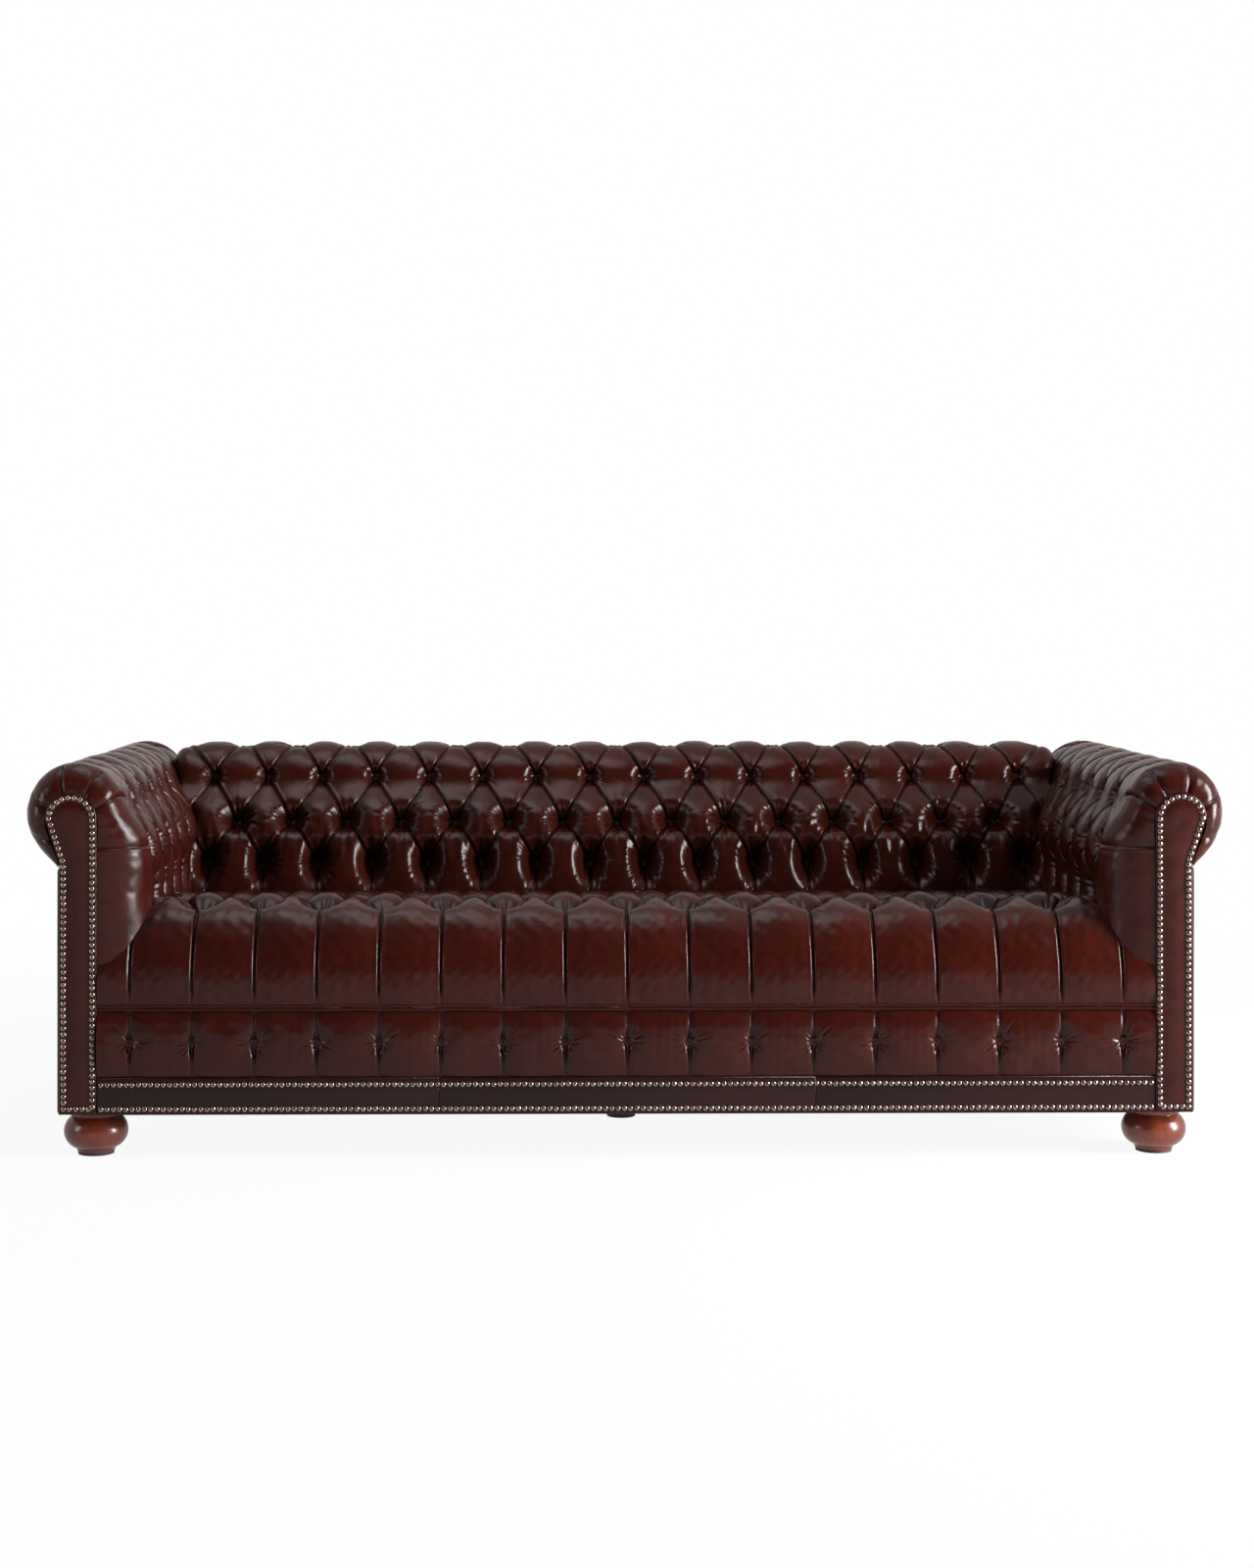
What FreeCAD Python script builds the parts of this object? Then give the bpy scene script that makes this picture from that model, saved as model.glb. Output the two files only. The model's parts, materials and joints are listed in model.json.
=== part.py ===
# Chesterfield sofa, three seats wide, with a tight tufted seat, back and arms.
# Millimetres. +Z is up, the front faces -Y, and +X is to the right of someone who looks at it.
# The origin is the centre of the footprint, on the floor.
# Depths are measured backwards from the flat front of the arm facings.
import FreeCAD, Part
import math
import os

Vector = FreeCAD.Vector

# Overall size
WIDTH = 2337.0
DEPTH = 952.0
HEIGHT = 762.0

# Rolls along the arms and the back
ROLL_RADIUS = 97.0
HEAD_RADIUS = 50.0
HEAD_DROP = 9.0
POST_WIDTH = 72.0
BODY_OUTER = 23.0
ROLL_LEAF = 102.0
TUCK_OUT = 8.0
BACK_LEAN = 56.0
KNEE_DROP = 40.0

# Tufting
TUFT_PITCH = 120.0
BUTTON_DIAMETER = 20.0
BUTTON_RIM = 2.0
BUTTON_HEIGHT = 6.0
ROLL_TUFT = 19.0
BACK_TUFT = 25.0
BACK_END_TUFT = 20.0
ARM_TUFT = 22.0
SEAT_TUFT = 18.0
BORDER_TUFT = 4.0
SIDE_ROW_ANGLE = 17.0
TUCK_ANGLE = 197.0
LEAD_ANGLE = 208.0
LEAD_FACE_ANGLE = 200.0
LEAD_BULGE = 2.0
LEATHER = 2.0
COLUMN_SIDE = 15
ARM_FIRST_BUTTON = 120.0

# Rows below the roll, as a drop from its centre and the slope of the padding there
ARM_KNEE_DROP = 66.0
ARM_KNEE_SLOPE = 17.0
ARM_LOW_DROP = 165.0
ARM_LOW_SLOPE = 2.0
ARM_LAST_ROLL_BUTTON = 700.0
ARM_LAST_KNEE_BUTTON = 640.0
ARM_LAST_LOW_BUTTON = 600.0
BACK_KNEE_SHORT = 55.0
BACK_KNEE_DROP = 56.0
BACK_KNEE_SLOPE = 28.0
BACK_LOW_SHORT = 17.0
BACK_LOW_DROP = 151.0
BACK_LOW_SLOPE = 19.0

# Upholstered forms
SEAT_HEIGHT = 480.0
SEAT_END_GAP = 3.0
ARM_SWELL = 147.0
ARM_KNEE_EASE = 4.0
ARM_FOAM_BOTTOM = 340.0
BACK_SWELL = 220.0
BACK_FOAM_BOTTOM = 440.0
SEAT_FRONT_ROW = 135.0
SEAT_ROW_PITCH = 100.0
SEAT_ROWS = 5
SEAT_REAR_DROP = 10.0
SEAT_REAR_SLOPE = 75.0
SEAT_HEEL_OUT = 2.0
CHANNEL_SHARE = 0.6
CAP_REACH = 90.0
ROLL_CAP_REACH = 48.0
CAP_MARGIN = 8.0
# Steps of the rounded front of an arm: how far behind the facing, and how deep the pleats are
CAP_STEPS = ((0.0, 0.08), (2.5, 0.1), (9.0, 0.14), (20.0, 0.2), (38.0, 0.3), (64.0, 0.5))
# Steps of the ear at each end of the seat: how far out, and how high it still stands
EAR_STEPS = ((0.0, 1.0), (0.2, 0.94), (0.42, 0.78), (0.5, 0.74), (0.75, 0.5), (1.0, 0.25))
EAR_SHOULDER = 0.75
EAR_BULGE = 0.12
EAR_BULGE_RISE = 0.6
EAR_BACK_DROP = 8.0
# Ends of the back, which lean out over the arms
BACK_END_FOOT = 62.0
BACK_END_INSET = 23.0
BACK_END_TOP = 40.0
TRIM_MARGIN = 10.0
SOFT_GAP = 0.5
CORNER_GAP = 4.0
SWELL_EASE = 6.0
ROLL_EASE = 4.0
END_CLEARANCE = 6.0
ROLL_BULGE = 14.5
ROLL_BULGE_LIFT = 103.0
FRONT_ROLL_DEPTH = 83.0
FRONT_ROLL_SLOPE = 98.0
FRONT_ROLL_SET = 1.0
SEAT_EDGE_DROP = 4.0
HEEL_LIFT = 40.0

# Front of the base
FACING_THICKNESS = 8.0
BAND_THICKNESS = 6.0
BAND_TOP = 158.5
BAND_SEAM = 364.0
WELT_DIAMETER = 6.5
WELT_Z = 293.0
BORDER_BUTTON_Z = 225.0
BORDER_BUTTON_DIAMETER = 17.0
BORDER_SWELL = 10.0
BORDER_EDGE = 3.0
BORDER_QUILT = 4.0
BORDER_SHARE = 0.55
ROLL_END_EASE = 1.0
# Outline of a padded roll end, as shares of its radius and its length
ROLL_END_STEPS = ((1.0, 0.4), (0.88, 0.8), (0.55, 0.96))

# Timber frame
BOARD = 25.0
POST_REAR = 50.0
SEAT_RAIL_TOP = 300.0
SIDE_RAIL_HEIGHT = 142.0
REAR_RAIL_DEPTH = 690.0
BRACE_HEIGHT = 72.0
BRACE_X = 350.0
STILE_WIDTH = 32.0
STILE_X = 880.0
TACK_RAIL = 43.0
PANEL = 6.0
FOOT_BLOCK_WIDTH = 92.0
FOOT_BLOCK_LENGTH = 105.0
FOOT_BLOCK_HEIGHT = 20.0
CORNER_BLOCK = 50.0
CORNER_BLOCK_HEIGHT = 90.0
CORNER_BLOCK_LIFT = 42.0

# Springs and webbing
SPRING_WIRE = 4.0
SPRING_TURNS = 24
SPRING_SPAN = 34.0
SPRING_COUNT = 12
SPRING_PITCH = 160.0
CLIP_THICKNESS = 2.0
CLIP_WIDTH = 24.0
CLIP_LENGTH = 18.0
ARM_UPRIGHT_SHARES = (1 / 3, 2 / 3)
DECK_THICKNESS = 2.0
WEB_THICKNESS = 2.0
WEB_WIDTH = 50.0
ARM_WEB_LIFTS = (0.15, 0.42, 0.69)
BACK_WEB_LIFTS = (0.05, 0.4, 0.74)

# Feet
FOOT_HEIGHT = 87.0
FOOT_DIAMETER = 122.0
FOOT_COLLAR = 103.0
FOOT_TOE = 76.0
COLLAR_HEIGHT = 11.0
COLLAR_WAIST = 6.0
COLLAR_CHAMFER = 1.5
FOOT_BELLY = 0.5
FOOT_LOW_BULGE = 6.0
FOOT_LOW_RISE = 0.35
FOOT_HIGH_BULGE = 4.0
FOOT_HIGH_FALL = 0.3
GLIDE_DIAMETER = 70.0
GLIDE_THICKNESS = 5.0
FOOT_X = 1036.0
FOOT_INSET = 75.0
CENTRE_FOOT_DIAMETER = 60.0
CENTRE_FOOT_DEPTH = 420.0
BOLT_DIAMETER = 10.0
BOLT_IN_FOOT = 42.0
BOLT_CLEARANCE = 0.4
NUT_FLANGE = 30.0
NUT_THICKNESS = 3.0
DUST_COVER = 1.0
RAIL_BOLT_DIAMETER = 8.0
RAIL_BOLT_BITE = 18.0
RAIL_BOLT_HEAD = 16.0
RAIL_BOLT_HEAD_HEIGHT = 5.0

# Nails
NAIL_DIAMETER = 10.5
NAIL_HEIGHT = 3.5
NAIL_PITCH = 12.0
NAIL_MARGIN = 8.5
BAND_NAIL_LOW = 98.0
BAND_NAIL_HIGH = 145.0

LEAST_BULGE = 0.05
EVERYWHERE = math.inf

# Places worked out from the sizes above
FRONT = NAIL_HEIGHT - DEPTH / 2
ARM_ROLL_X = WIDTH / 2 - ROLL_RADIUS
ROLL_Z = HEIGHT - ROLL_RADIUS
BACK_ROLL_DEPTH = DEPTH - NAIL_HEIGHT - ROLL_RADIUS
FRAME_BOTTOM = FOOT_HEIGHT + DUST_COVER
FRAME_FRONT = FACING_THICKNESS
FRAME_REAR = BACK_ROLL_DEPTH + BODY_OUTER
BODY_INNER = POST_WIDTH - BODY_OUTER
HEAD_U = HEAD_RADIUS - BODY_INNER
POST_INNER_X = ARM_ROLL_X - BODY_INNER
POST_OUTER_X = ARM_ROLL_X + BODY_OUTER
POST_BACK = FRAME_FRONT + BOARD
REAR_POST_FRONT = FRAME_REAR - POST_REAR
HALF_BUTTON = BUTTON_DIAMETER / 2
DECK_TOP = SEAT_RAIL_TOP + CLIP_THICKNESS + SPRING_WIRE + DECK_THICKNESS
SIDE_RAIL_X = POST_OUTER_X - BOARD
WELT_FRONT = FRAME_FRONT - WELT_DIAMETER
SEAT_LEAF = WELT_Z + WELT_DIAMETER
SEAT_REAR = BACK_ROLL_DEPTH - BACK_SWELL - SEAT_END_GAP
BACK_WIDE = ARM_ROLL_X - ROLL_RADIUS - SEAT_END_GAP
BAND_FRONT = FRAME_FRONT - BAND_THICKNESS


def group(solids):
    return Part.makeCompound(solids)


def save(shape, name):
    os.makedirs("parts", exist_ok=True)
    shape.exportStep("parts/" + name + ".step")


def box(x0, x1, d0, d1, z0, z1):
    """Block between two corners, with depths measured back from the arm facings."""
    low_x = min(x0, x1)
    size_x = abs(x1 - x0)
    return Part.makeBox(size_x, d1 - d0, z1 - z0, Vector(low_x, FRONT + d0, z0))


def edge(a, mid, b):
    """Straight edge, or an arc through mid when mid stands off the line."""
    if mid is not None:
        chord = b - a
        stand = (mid - a).cross(chord).Length / chord.Length
        if stand > LEAST_BULGE:
            return Part.Arc(a, mid, b).toShape()
    return Part.LineSegment(a, b).toShape()


def closed_wire(points):
    """Wire from (a, mid, b) steps whose ends meet."""
    return Part.Wire([edge(a, mid, b) for a, mid, b in points])


def prism(outline, along):
    return Part.Face(closed_wire(outline)).extrude(along)


def turned(profile, centre, axis):
    """Solid of revolution from (radius, height, mid) steps about an axis at centre."""
    steps = []
    for start, mid, end in profile:
        points = [None if p is None else Vector(p[0], 0, p[1]) for p in (start, mid, end)]
        steps.append(edge(points[0], points[1], points[2]))
    face = Part.Face(Part.Wire(steps))
    solid = face.revolve(Vector(0, 0, 0), Vector(0, 0, 1), 360)
    turn = FreeCAD.Rotation(Vector(0, 0, 1), axis)
    solid.Placement = FreeCAD.Placement(centre, turn)
    return solid


def add(p, q, scale=1.0):
    return (p[0] + q[0] * scale, p[1] + q[1] * scale)


def polar(angle, radius):
    turn = math.radians(angle)
    return (radius * math.cos(turn), radius * math.sin(turn))


class Row:
    """One line of tufts in a section: its crest, its outward normal and how deep it is pulled."""

    def __init__(self, crest, angle, depth, face=None, reach=CAP_REACH, last=EVERYWHERE):
        self.crest = crest
        self.normal = polar(angle, 1.0)
        self.depth = depth
        self.face = face if face else crest
        self.reach = reach
        self.last = last

    def top(self, inset):
        return add(self.crest, self.normal, -inset)

    def dip(self, inset):
        return add(self.crest, self.normal, -inset - self.depth)

    def along(self, point, distance):
        return add(point, (self.normal[1], -self.normal[0]), distance)

    def at_depth(self, depth, pull):
        """The same row where the end cap has drawn it towards the facing."""
        share = min(max((depth - FRAME_FRONT) / self.reach, 0.0), 1.0)
        rise = math.sqrt(1.0 - (1.0 - share) ** 2)
        shift = (self.crest[0] - self.face[0], self.crest[1] - self.face[1])
        drawn = Row(add(self.face, shift, rise), 0.0, 0.0)
        drawn.normal = self.normal
        drawn.depth = self.depth * pull if depth <= self.last else 0.0
        return drawn


def quilt_path(rows, start, lead, end, odd, inset, half):
    """Steps of one tufted section, the same count for buttons on even rows as on odd ones."""
    steps = []
    if odd:
        here = start.along(start.top(inset), half)
        steps.append((start.top(inset), None, here))
    else:
        here = start.dip(inset)
    for j in range(1 if odd else 0, len(rows), 2):
        row = rows[j]
        low = row.along(row.dip(inset), -half)
        high = row.along(row.dip(inset), half)
        mid = rows[j - 1].top(inset) if j else lead.dip(inset)
        steps.append((here, mid, low))
        steps.append((low, None, high))
        here = high
    if odd:
        last = end.along(end.top(inset), -half)
        steps.append((here, rows[-1].top(inset), last))
        steps.append((last, None, end.top(inset)))
    else:
        steps.append((here, None, end.dip(inset)))
    return steps


def reverse(steps):
    return [(b, mid, a) for a, mid, b in reversed(steps)]


def lines(points):
    return [(points[i], None, points[i + 1]) for i in range(len(points) - 1)]


def section_wire(steps, place, station):
    moved = []
    for step in steps:
        moved.append([None if p is None else place(p, station) for p in step])
    return closed_wire(moved)


def skin_wire(outer, inner, place, station):
    """Closed thin section between the outside of the leather and its inside."""
    steps = outer + [(outer[-1][2], None, inner[-1][2])] + reverse(inner)
    steps.append((inner[0][0], None, outer[0][0]))
    return section_wire(steps, place, station)


def core_wire(inner, inside, place, station):
    """Closed section of the stuffing, from the leather to the frame that it is built on."""
    steps = inner + [(inner[-1][2], None, inside[0][0])] + inside
    steps.append((inside[-1][2], None, inner[0][0]))
    return section_wire(steps, place, station)


def loft(wires):
    solid = Part.makeLoft(wires, True, True)
    if solid.Volume < 0:
        solid.reverse()
    return solid


def head_path(base_u):
    """Inside of the roll: up the inner side, over the head and down to where the panel starts."""
    inner = (BODY_INNER, -HEAD_DROP)
    outer = (-HEAD_RADIUS - HEAD_U, -HEAD_DROP)
    neck = (-BODY_OUTER, -ROLL_LEAF + TUCK_OUT)
    return [
        (base_u, None, inner),
        (inner, (-HEAD_U, HEAD_RADIUS - HEAD_DROP), outer),
        (outer, None, neck),
        (neck, None, (-BODY_OUTER, -ROLL_LEAF)),
    ]


def place_arm(side):
    def place(point, depth):
        return Vector(side * (ARM_ROLL_X - point[0]), FRONT + depth, ROLL_Z + point[1])
    return place


def place_back(point, x):
    return Vector(x, FRONT + BACK_ROLL_DEPTH - point[0], ROLL_Z + point[1])


def place_depth(point, x):
    return Vector(x, FRONT + point[0], point[1])


def roll_rows(end_last):
    """The three rows on the roll itself, outside, top and inside."""
    head = (-HEAD_U, -HEAD_DROP)
    ring = HEAD_RADIUS + CAP_MARGIN
    rows = []
    outside = (180 - SIDE_ROW_ANGLE, ROLL_RADIUS - ROLL_EASE, EVERYWHERE)
    top = (90, ROLL_RADIUS, EVERYWHERE)
    inside = (SIDE_ROW_ANGLE, ROLL_RADIUS, end_last)
    for angle, radius, last in (outside, top, inside):
        crest = polar(angle, radius)
        face = add(head, polar(angle, ring))
        rows.append(Row(crest, angle, ROLL_TUFT, face, ROLL_CAP_REACH, last))
    return rows


def roll_start():
    """Where the leather starts under the roll, and the pleat that leads up from there."""
    tuck = (-BODY_OUTER - TUCK_OUT, -ROLL_LEAF)
    face = (-BODY_OUTER - CAP_MARGIN, -ROLL_LEAF)
    start = Row(tuck, TUCK_ANGLE, 0.0, face, ROLL_CAP_REACH)
    lead_face = add((-HEAD_U, -HEAD_DROP), polar(LEAD_FACE_ANGLE, HEAD_RADIUS + CAP_MARGIN))
    lead_crest = polar(LEAD_ANGLE, ROLL_RADIUS + LEAD_BULGE)
    lead = Row(lead_crest, LEAD_ANGLE, ROLL_TUFT / 2, lead_face, ROLL_CAP_REACH)
    return start, lead


def arm_section():
    face_u = BODY_INNER + CAP_MARGIN
    knee = -ARM_KNEE_DROP
    bend = -ARM_LOW_DROP
    low = ARM_FOAM_BOTTOM - ROLL_Z
    inner = ARM_SWELL - SWELL_EASE
    rows = roll_rows(ARM_LAST_ROLL_BUTTON)
    rows.append(Row((ARM_SWELL - ARM_KNEE_EASE, knee), ARM_KNEE_SLOPE, ARM_TUFT, (face_u, knee),
                    CAP_REACH, ARM_LAST_KNEE_BUTTON))
    rows.append(Row((inner, bend), ARM_LOW_SLOPE, ARM_TUFT, (face_u, bend),
                    CAP_REACH, ARM_LAST_LOW_BUTTON))
    end = Row((inner, low), 0.0, ARM_TUFT / 2, (face_u, low), CAP_REACH, ARM_LAST_LOW_BUTTON)
    start, lead = roll_start()
    return rows, start, lead, end


def arm_columns():
    """Depth of each column of buttons on an arm, and whether it buttons the odd rows."""
    count = int((FRAME_REAR - HALF_BUTTON - ARM_FIRST_BUTTON) / (TUFT_PITCH / 2)) + 1
    return [(ARM_FIRST_BUTTON + k * TUFT_PITCH / 2, k % 2 == 0) for k in range(count)]


def arm_stations():
    """Depths along the arm, which rows are buttoned there, and the pull of their pleats."""
    stations = []
    for depth, pull in CAP_STEPS:
        stations.append((FRAME_FRONT + depth, True, pull))
    for depth, odd in arm_columns():
        stations.append((depth - HALF_BUTTON, odd, 1.0))
        stations.append((depth + HALF_BUTTON, odd, 1.0))
    stations.append((FRAME_REAR, stations[-1][1], 1.0))
    return stations


def arm_upholstery(side):
    rows, start, lead, end = arm_section()
    place = place_arm(side)
    low = (BODY_INNER, ARM_FOAM_BOTTOM - ROLL_Z)
    inside = head_path(low)
    skins = []
    cores = []
    for depth, odd, pull in arm_stations():
        here = [row.at_depth(depth, pull) for row in rows]
        ends = [row.at_depth(depth, pull) for row in (start, lead, end)]
        outer = quilt_path(here, ends[0], ends[1], ends[2], odd, 0.0, HALF_BUTTON)
        inner = quilt_path(here, ends[0], ends[1], ends[2], odd, LEATHER, HALF_BUTTON)
        skins.append(skin_wire(outer, inner, place, depth))
        cores.append(core_wire(inner, inside, place, depth))
    return loft(skins), loft(cores)


def back_section():
    rows = roll_rows(EVERYWHERE)
    knee = (BACK_SWELL - BACK_KNEE_SHORT, -BACK_KNEE_DROP)
    bend = (BACK_SWELL - BACK_LOW_SHORT, -BACK_LOW_DROP)
    low = BACK_FOAM_BOTTOM - ROLL_Z
    rows.append(Row(knee, BACK_KNEE_SLOPE, BACK_TUFT))
    rows.append(Row(bend, BACK_LOW_SLOPE, BACK_TUFT))
    end = Row((BACK_SWELL, low), 0.0, BACK_END_TUFT)
    start, lead = roll_start()
    return rows, start, lead, end


def column_stations(last_column, half, end_x):
    """Places across the sofa, two for each column, and whether the column is a whole pitch out."""
    stations = []
    for k in range(-last_column, last_column + 1):
        x = k * TUFT_PITCH / 2
        stations.append((x - half, k % 2 == 0))
        stations.append((x + half, k % 2 == 0))
    return [(-end_x, stations[0][1])] + stations + [(end_x, stations[-1][1])]


def back_end_block():
    """Space between the two arms, which trims the ends of the back."""
    narrow = ARM_ROLL_X - ARM_SWELL - END_CLEARANCE
    right = [(narrow, BACK_FOAM_BOTTOM - TRIM_MARGIN), (narrow, ROLL_Z - BACK_END_FOOT),
             (BACK_WIDE - BACK_END_INSET, ROLL_Z), (BACK_WIDE, ROLL_Z + BACK_END_TOP),
             (BACK_WIDE, HEIGHT + TRIM_MARGIN)]
    points = right + [(-x, z) for x, z in reversed(right)]
    points.append(right[0])
    outline = [(Vector(a[0], FRONT, a[1]), None, Vector(b[0], FRONT, b[1]))
               for a, m, b in lines(points)]
    return prism(outline, Vector(0, DEPTH, 0))


def back_upholstery():
    rows, start, lead, end = back_section()
    low = (BODY_INNER + BACK_LEAN, BACK_FOAM_BOTTOM - ROLL_Z)
    knee = (BODY_INNER, -HEAD_DROP - KNEE_DROP)
    inside = [(low, None, knee)] + head_path(knee)
    skins = []
    cores = []
    for x, odd in column_stations(COLUMN_SIDE, HALF_BUTTON, BACK_WIDE):
        outer = quilt_path(rows, start, lead, end, odd, 0.0, HALF_BUTTON)
        inner = quilt_path(rows, start, lead, end, odd, LEATHER, HALF_BUTTON)
        skins.append(skin_wire(outer, inner, place_back, x))
        cores.append(core_wire(inner, inside, place_back, x))
    block = back_end_block()
    return loft(skins).common(block), loft(cores).common(block)


def front_roll(odd, inset):
    """Front of the seat, from the welt up and over the edge to where the top begins."""
    pull = 0.0 if odd else SEAT_TUFT * CHANNEL_SHARE
    low = (WELT_FRONT + FRONT_ROLL_SET + inset, SEAT_LEAF)
    middle = (ROLL_BULGE + inset + pull, SEAT_LEAF + ROLL_BULGE_LIFT - inset / 2)
    top = Row((FRONT_ROLL_DEPTH, SEAT_HEIGHT - SEAT_EDGE_DROP), FRONT_ROLL_SLOPE, pull)
    return low, middle, top


def seat_section():
    rows = []
    for j in range(SEAT_ROWS):
        place = (SEAT_FRONT_ROW + j * SEAT_ROW_PITCH, SEAT_HEIGHT)
        rows.append(Row(place, 90.0, SEAT_TUFT))
    rear = Row((SEAT_REAR, SEAT_HEIGHT - SEAT_REAR_DROP), SEAT_REAR_SLOPE, SEAT_TUFT / 2)
    return rows, rear


def seat_upholstery():
    rows, rear = seat_section()
    half_width = ARM_ROLL_X - ARM_SWELL - SOFT_GAP
    skins = []
    cores = []
    for x, whole in column_stations(COLUMN_SIDE, HALF_BUTTON, half_width):
        odd = not whole
        paths = []
        for inset in (0.0, LEATHER):
            low, middle, top = front_roll(odd, inset)
            meet = top.top(inset) if odd else top.dip(inset)
            rest = quilt_path(rows, top, top, rear, odd, inset, HALF_BUTTON)
            heel = (SEAT_REAR + SEAT_HEEL_OUT - inset, DECK_TOP + HEEL_LIFT)
            paths.append([(low, middle, meet)] + rest + [(rest[-1][2], None, heel)])
        skins.append(skin_wire(paths[0], paths[1], place_depth, x))
        heel = paths[1][-1][2]
        inside = lines([(heel[0], DECK_TOP), (FRAME_FRONT - SOFT_GAP, DECK_TOP),
                        (FRAME_FRONT - SOFT_GAP, SEAT_LEAF)])
        cores.append(core_wire(paths[1], inside, place_depth, x))
    return loft(skins), loft(cores)


def arm_face_depth(x):
    """Depth at which the rounded front of the arm padding stands at this distance out."""
    swell = (ARM_ROLL_X - x - BODY_INNER - CAP_MARGIN) / (ARM_SWELL - BODY_INNER - CAP_MARGIN)
    swell = min(max(swell, 0.0), 1.0)
    return FRAME_FRONT + CAP_REACH * (1.0 - math.sqrt(1.0 - swell ** 2))


def seat_corner(side):
    """Ear of the seat that fills the curve in front of the arm padding."""
    inner = ARM_ROLL_X - ARM_SWELL
    outer = POST_INNER_X - SOFT_GAP
    front = WELT_FRONT + FRONT_ROLL_SET
    wires = []
    for share, crest in EAR_STEPS:
        x = inner + (outer - inner) * share
        reach = max(arm_face_depth(x) - CORNER_GAP, FRAME_FRONT - SOFT_GAP)
        top = SEAT_LEAF + (SEAT_HEIGHT - SEAT_EDGE_DROP - SEAT_LEAF) * crest
        shoulder = (front + (reach - front) * EAR_SHOULDER, top)
        middle = (front + (reach - front) * EAR_BULGE, SEAT_LEAF + (top - SEAT_LEAF) * EAR_BULGE_RISE)
        steps = [((front, DECK_TOP), middle, shoulder)]
        steps += lines([shoulder, (reach, top - EAR_BACK_DROP), (reach, DECK_TOP), (front, DECK_TOP)])
        wires.append(section_wire(steps, place_depth, side * x))
    return loft(wires)


def border_upholstery():
    """Upright band under the welt, with a row of buttons and a pleat above and below each."""
    low = BAND_TOP
    high = WELT_Z - WELT_DIAMETER
    back = FRAME_FRONT
    skins = []
    cores = []
    last = COLUMN_SIDE + 1
    half = BORDER_BUTTON_DIAMETER / 2
    half_width = POST_INNER_X - SOFT_GAP
    for x, buttoned in column_stations(last, half, half_width):
        pull = BORDER_TUFT if buttoned else 0.0
        swell = BORDER_SWELL - pull * BORDER_SHARE
        paths = []
        for inset in (0.0, BORDER_QUILT):
            edge_depth = back - BORDER_EDGE + inset / 2
            face = back - BORDER_SWELL + inset
            a = (edge_depth, low)
            b = (face + pull, BORDER_BUTTON_Z - half)
            c = (face + pull, BORDER_BUTTON_Z + half)
            d = (edge_depth, high)
            low_mid = (back - swell + inset, (low + b[1]) / 2)
            high_mid = (back - swell + inset, (high + c[1]) / 2)
            paths.append([(a, low_mid, b), (b, None, c), (c, high_mid, d)])
        skins.append(skin_wire(paths[0], paths[1], place_depth, x))
        inside = lines([(back, high), (back, low)])
        cores.append(core_wire(paths[1], inside, place_depth, x))
    return loft(skins), loft(cores)


def keyhole_board(side, front, thickness):
    """Board in the shape of the arm front: a post whose round head leans out over the arm."""
    bottom = FRAME_BOTTOM - ROLL_Z
    inner = (BODY_INNER, bottom)
    outer = (-BODY_OUTER, bottom)
    head = head_path(inner)
    steps = head + lines([head[-1][2], outer, inner])
    wire = section_wire(steps, place_arm(side), front)
    return Part.Face(wire).extrude(Vector(0, thickness, 0))


def half_round(place, start, along):
    """Half-round rail inside a roll, flat below."""
    left = (-HEAD_U - HEAD_RADIUS, -HEAD_DROP)
    top = (-HEAD_U, HEAD_RADIUS - HEAD_DROP)
    right = (BODY_INNER, -HEAD_DROP)
    wire = section_wire([(left, top, right), (right, None, left)], place, start)
    return Part.Face(wire).extrude(along)


def both(make):
    return group([make(-1), make(1)])


def arm_box(side, u0, u1, d0, d1, z0, z1):
    return box(side * (ARM_ROLL_X - u0), side * (ARM_ROLL_X - u1), d0, d1, z0, z1)


def drilled(solid, holes):
    for hole in holes:
        solid = solid.cut(hole)
    return solid


def rod(centre, axis, diameter, length):
    return Part.makeCylinder(diameter / 2, length, centre, axis)


def corner_places():
    """Side, depth of the corner block and depth of the foot block at each corner."""
    rear = REAR_POST_FRONT
    places = []
    for side in (-1, 1):
        places.append((side, POST_BACK, POST_BACK))
        places.append((side, rear - CORNER_BLOCK, rear - FOOT_BLOCK_LENGTH))
    return places


def rail_bolt_holes():
    """Clearance holes of the bolts that pull the corner blocks onto the side rails."""
    return [rail_bolt(side, depth, BOLT_CLEARANCE, False) for side, depth, foot in corner_places()]


def rail_bolt(side, depth, extra, with_head):
    face_x = SIDE_RAIL_X - CORNER_BLOCK
    z = FRAME_BOTTOM + CORNER_BLOCK_LIFT + CORNER_BLOCK_HEIGHT / 2
    base = Vector(side * face_x, FRONT + depth + CORNER_BLOCK / 2, z)
    axis = Vector(side, 0, 0)
    shank = rod(base, axis, RAIL_BOLT_DIAMETER + extra, CORNER_BLOCK + RAIL_BOLT_BITE + extra)
    if with_head:
        head = rod(base - axis * RAIL_BOLT_HEAD_HEIGHT, axis, RAIL_BOLT_HEAD, RAIL_BOLT_HEAD_HEIGHT)
        shank = shank.fuse(head).removeSplitter()
    return shank


def corner_block(side, depth):
    z = FRAME_BOTTOM + CORNER_BLOCK_LIFT
    block = box(side * SIDE_RAIL_X, side * (SIDE_RAIL_X - CORNER_BLOCK), depth, depth + CORNER_BLOCK,
                z, z + CORNER_BLOCK_HEIGHT)
    return block.cut(rail_bolt(side, depth, BOLT_CLEARANCE, False))


def foot_places():
    """X and depth of the four corner feet."""
    rear = FRAME_REAR - FOOT_INSET
    names = ("front_left", "rear_left", "front_right", "rear_right")
    spots = [(side * FOOT_X, depth) for side in (-1, 1) for depth in (FOOT_INSET, rear)]
    return list(zip(names, spots))


def bolt_spots():
    return [spot for name, spot in foot_places()] + [(0.0, CENTRE_FOOT_DEPTH)]


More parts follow.
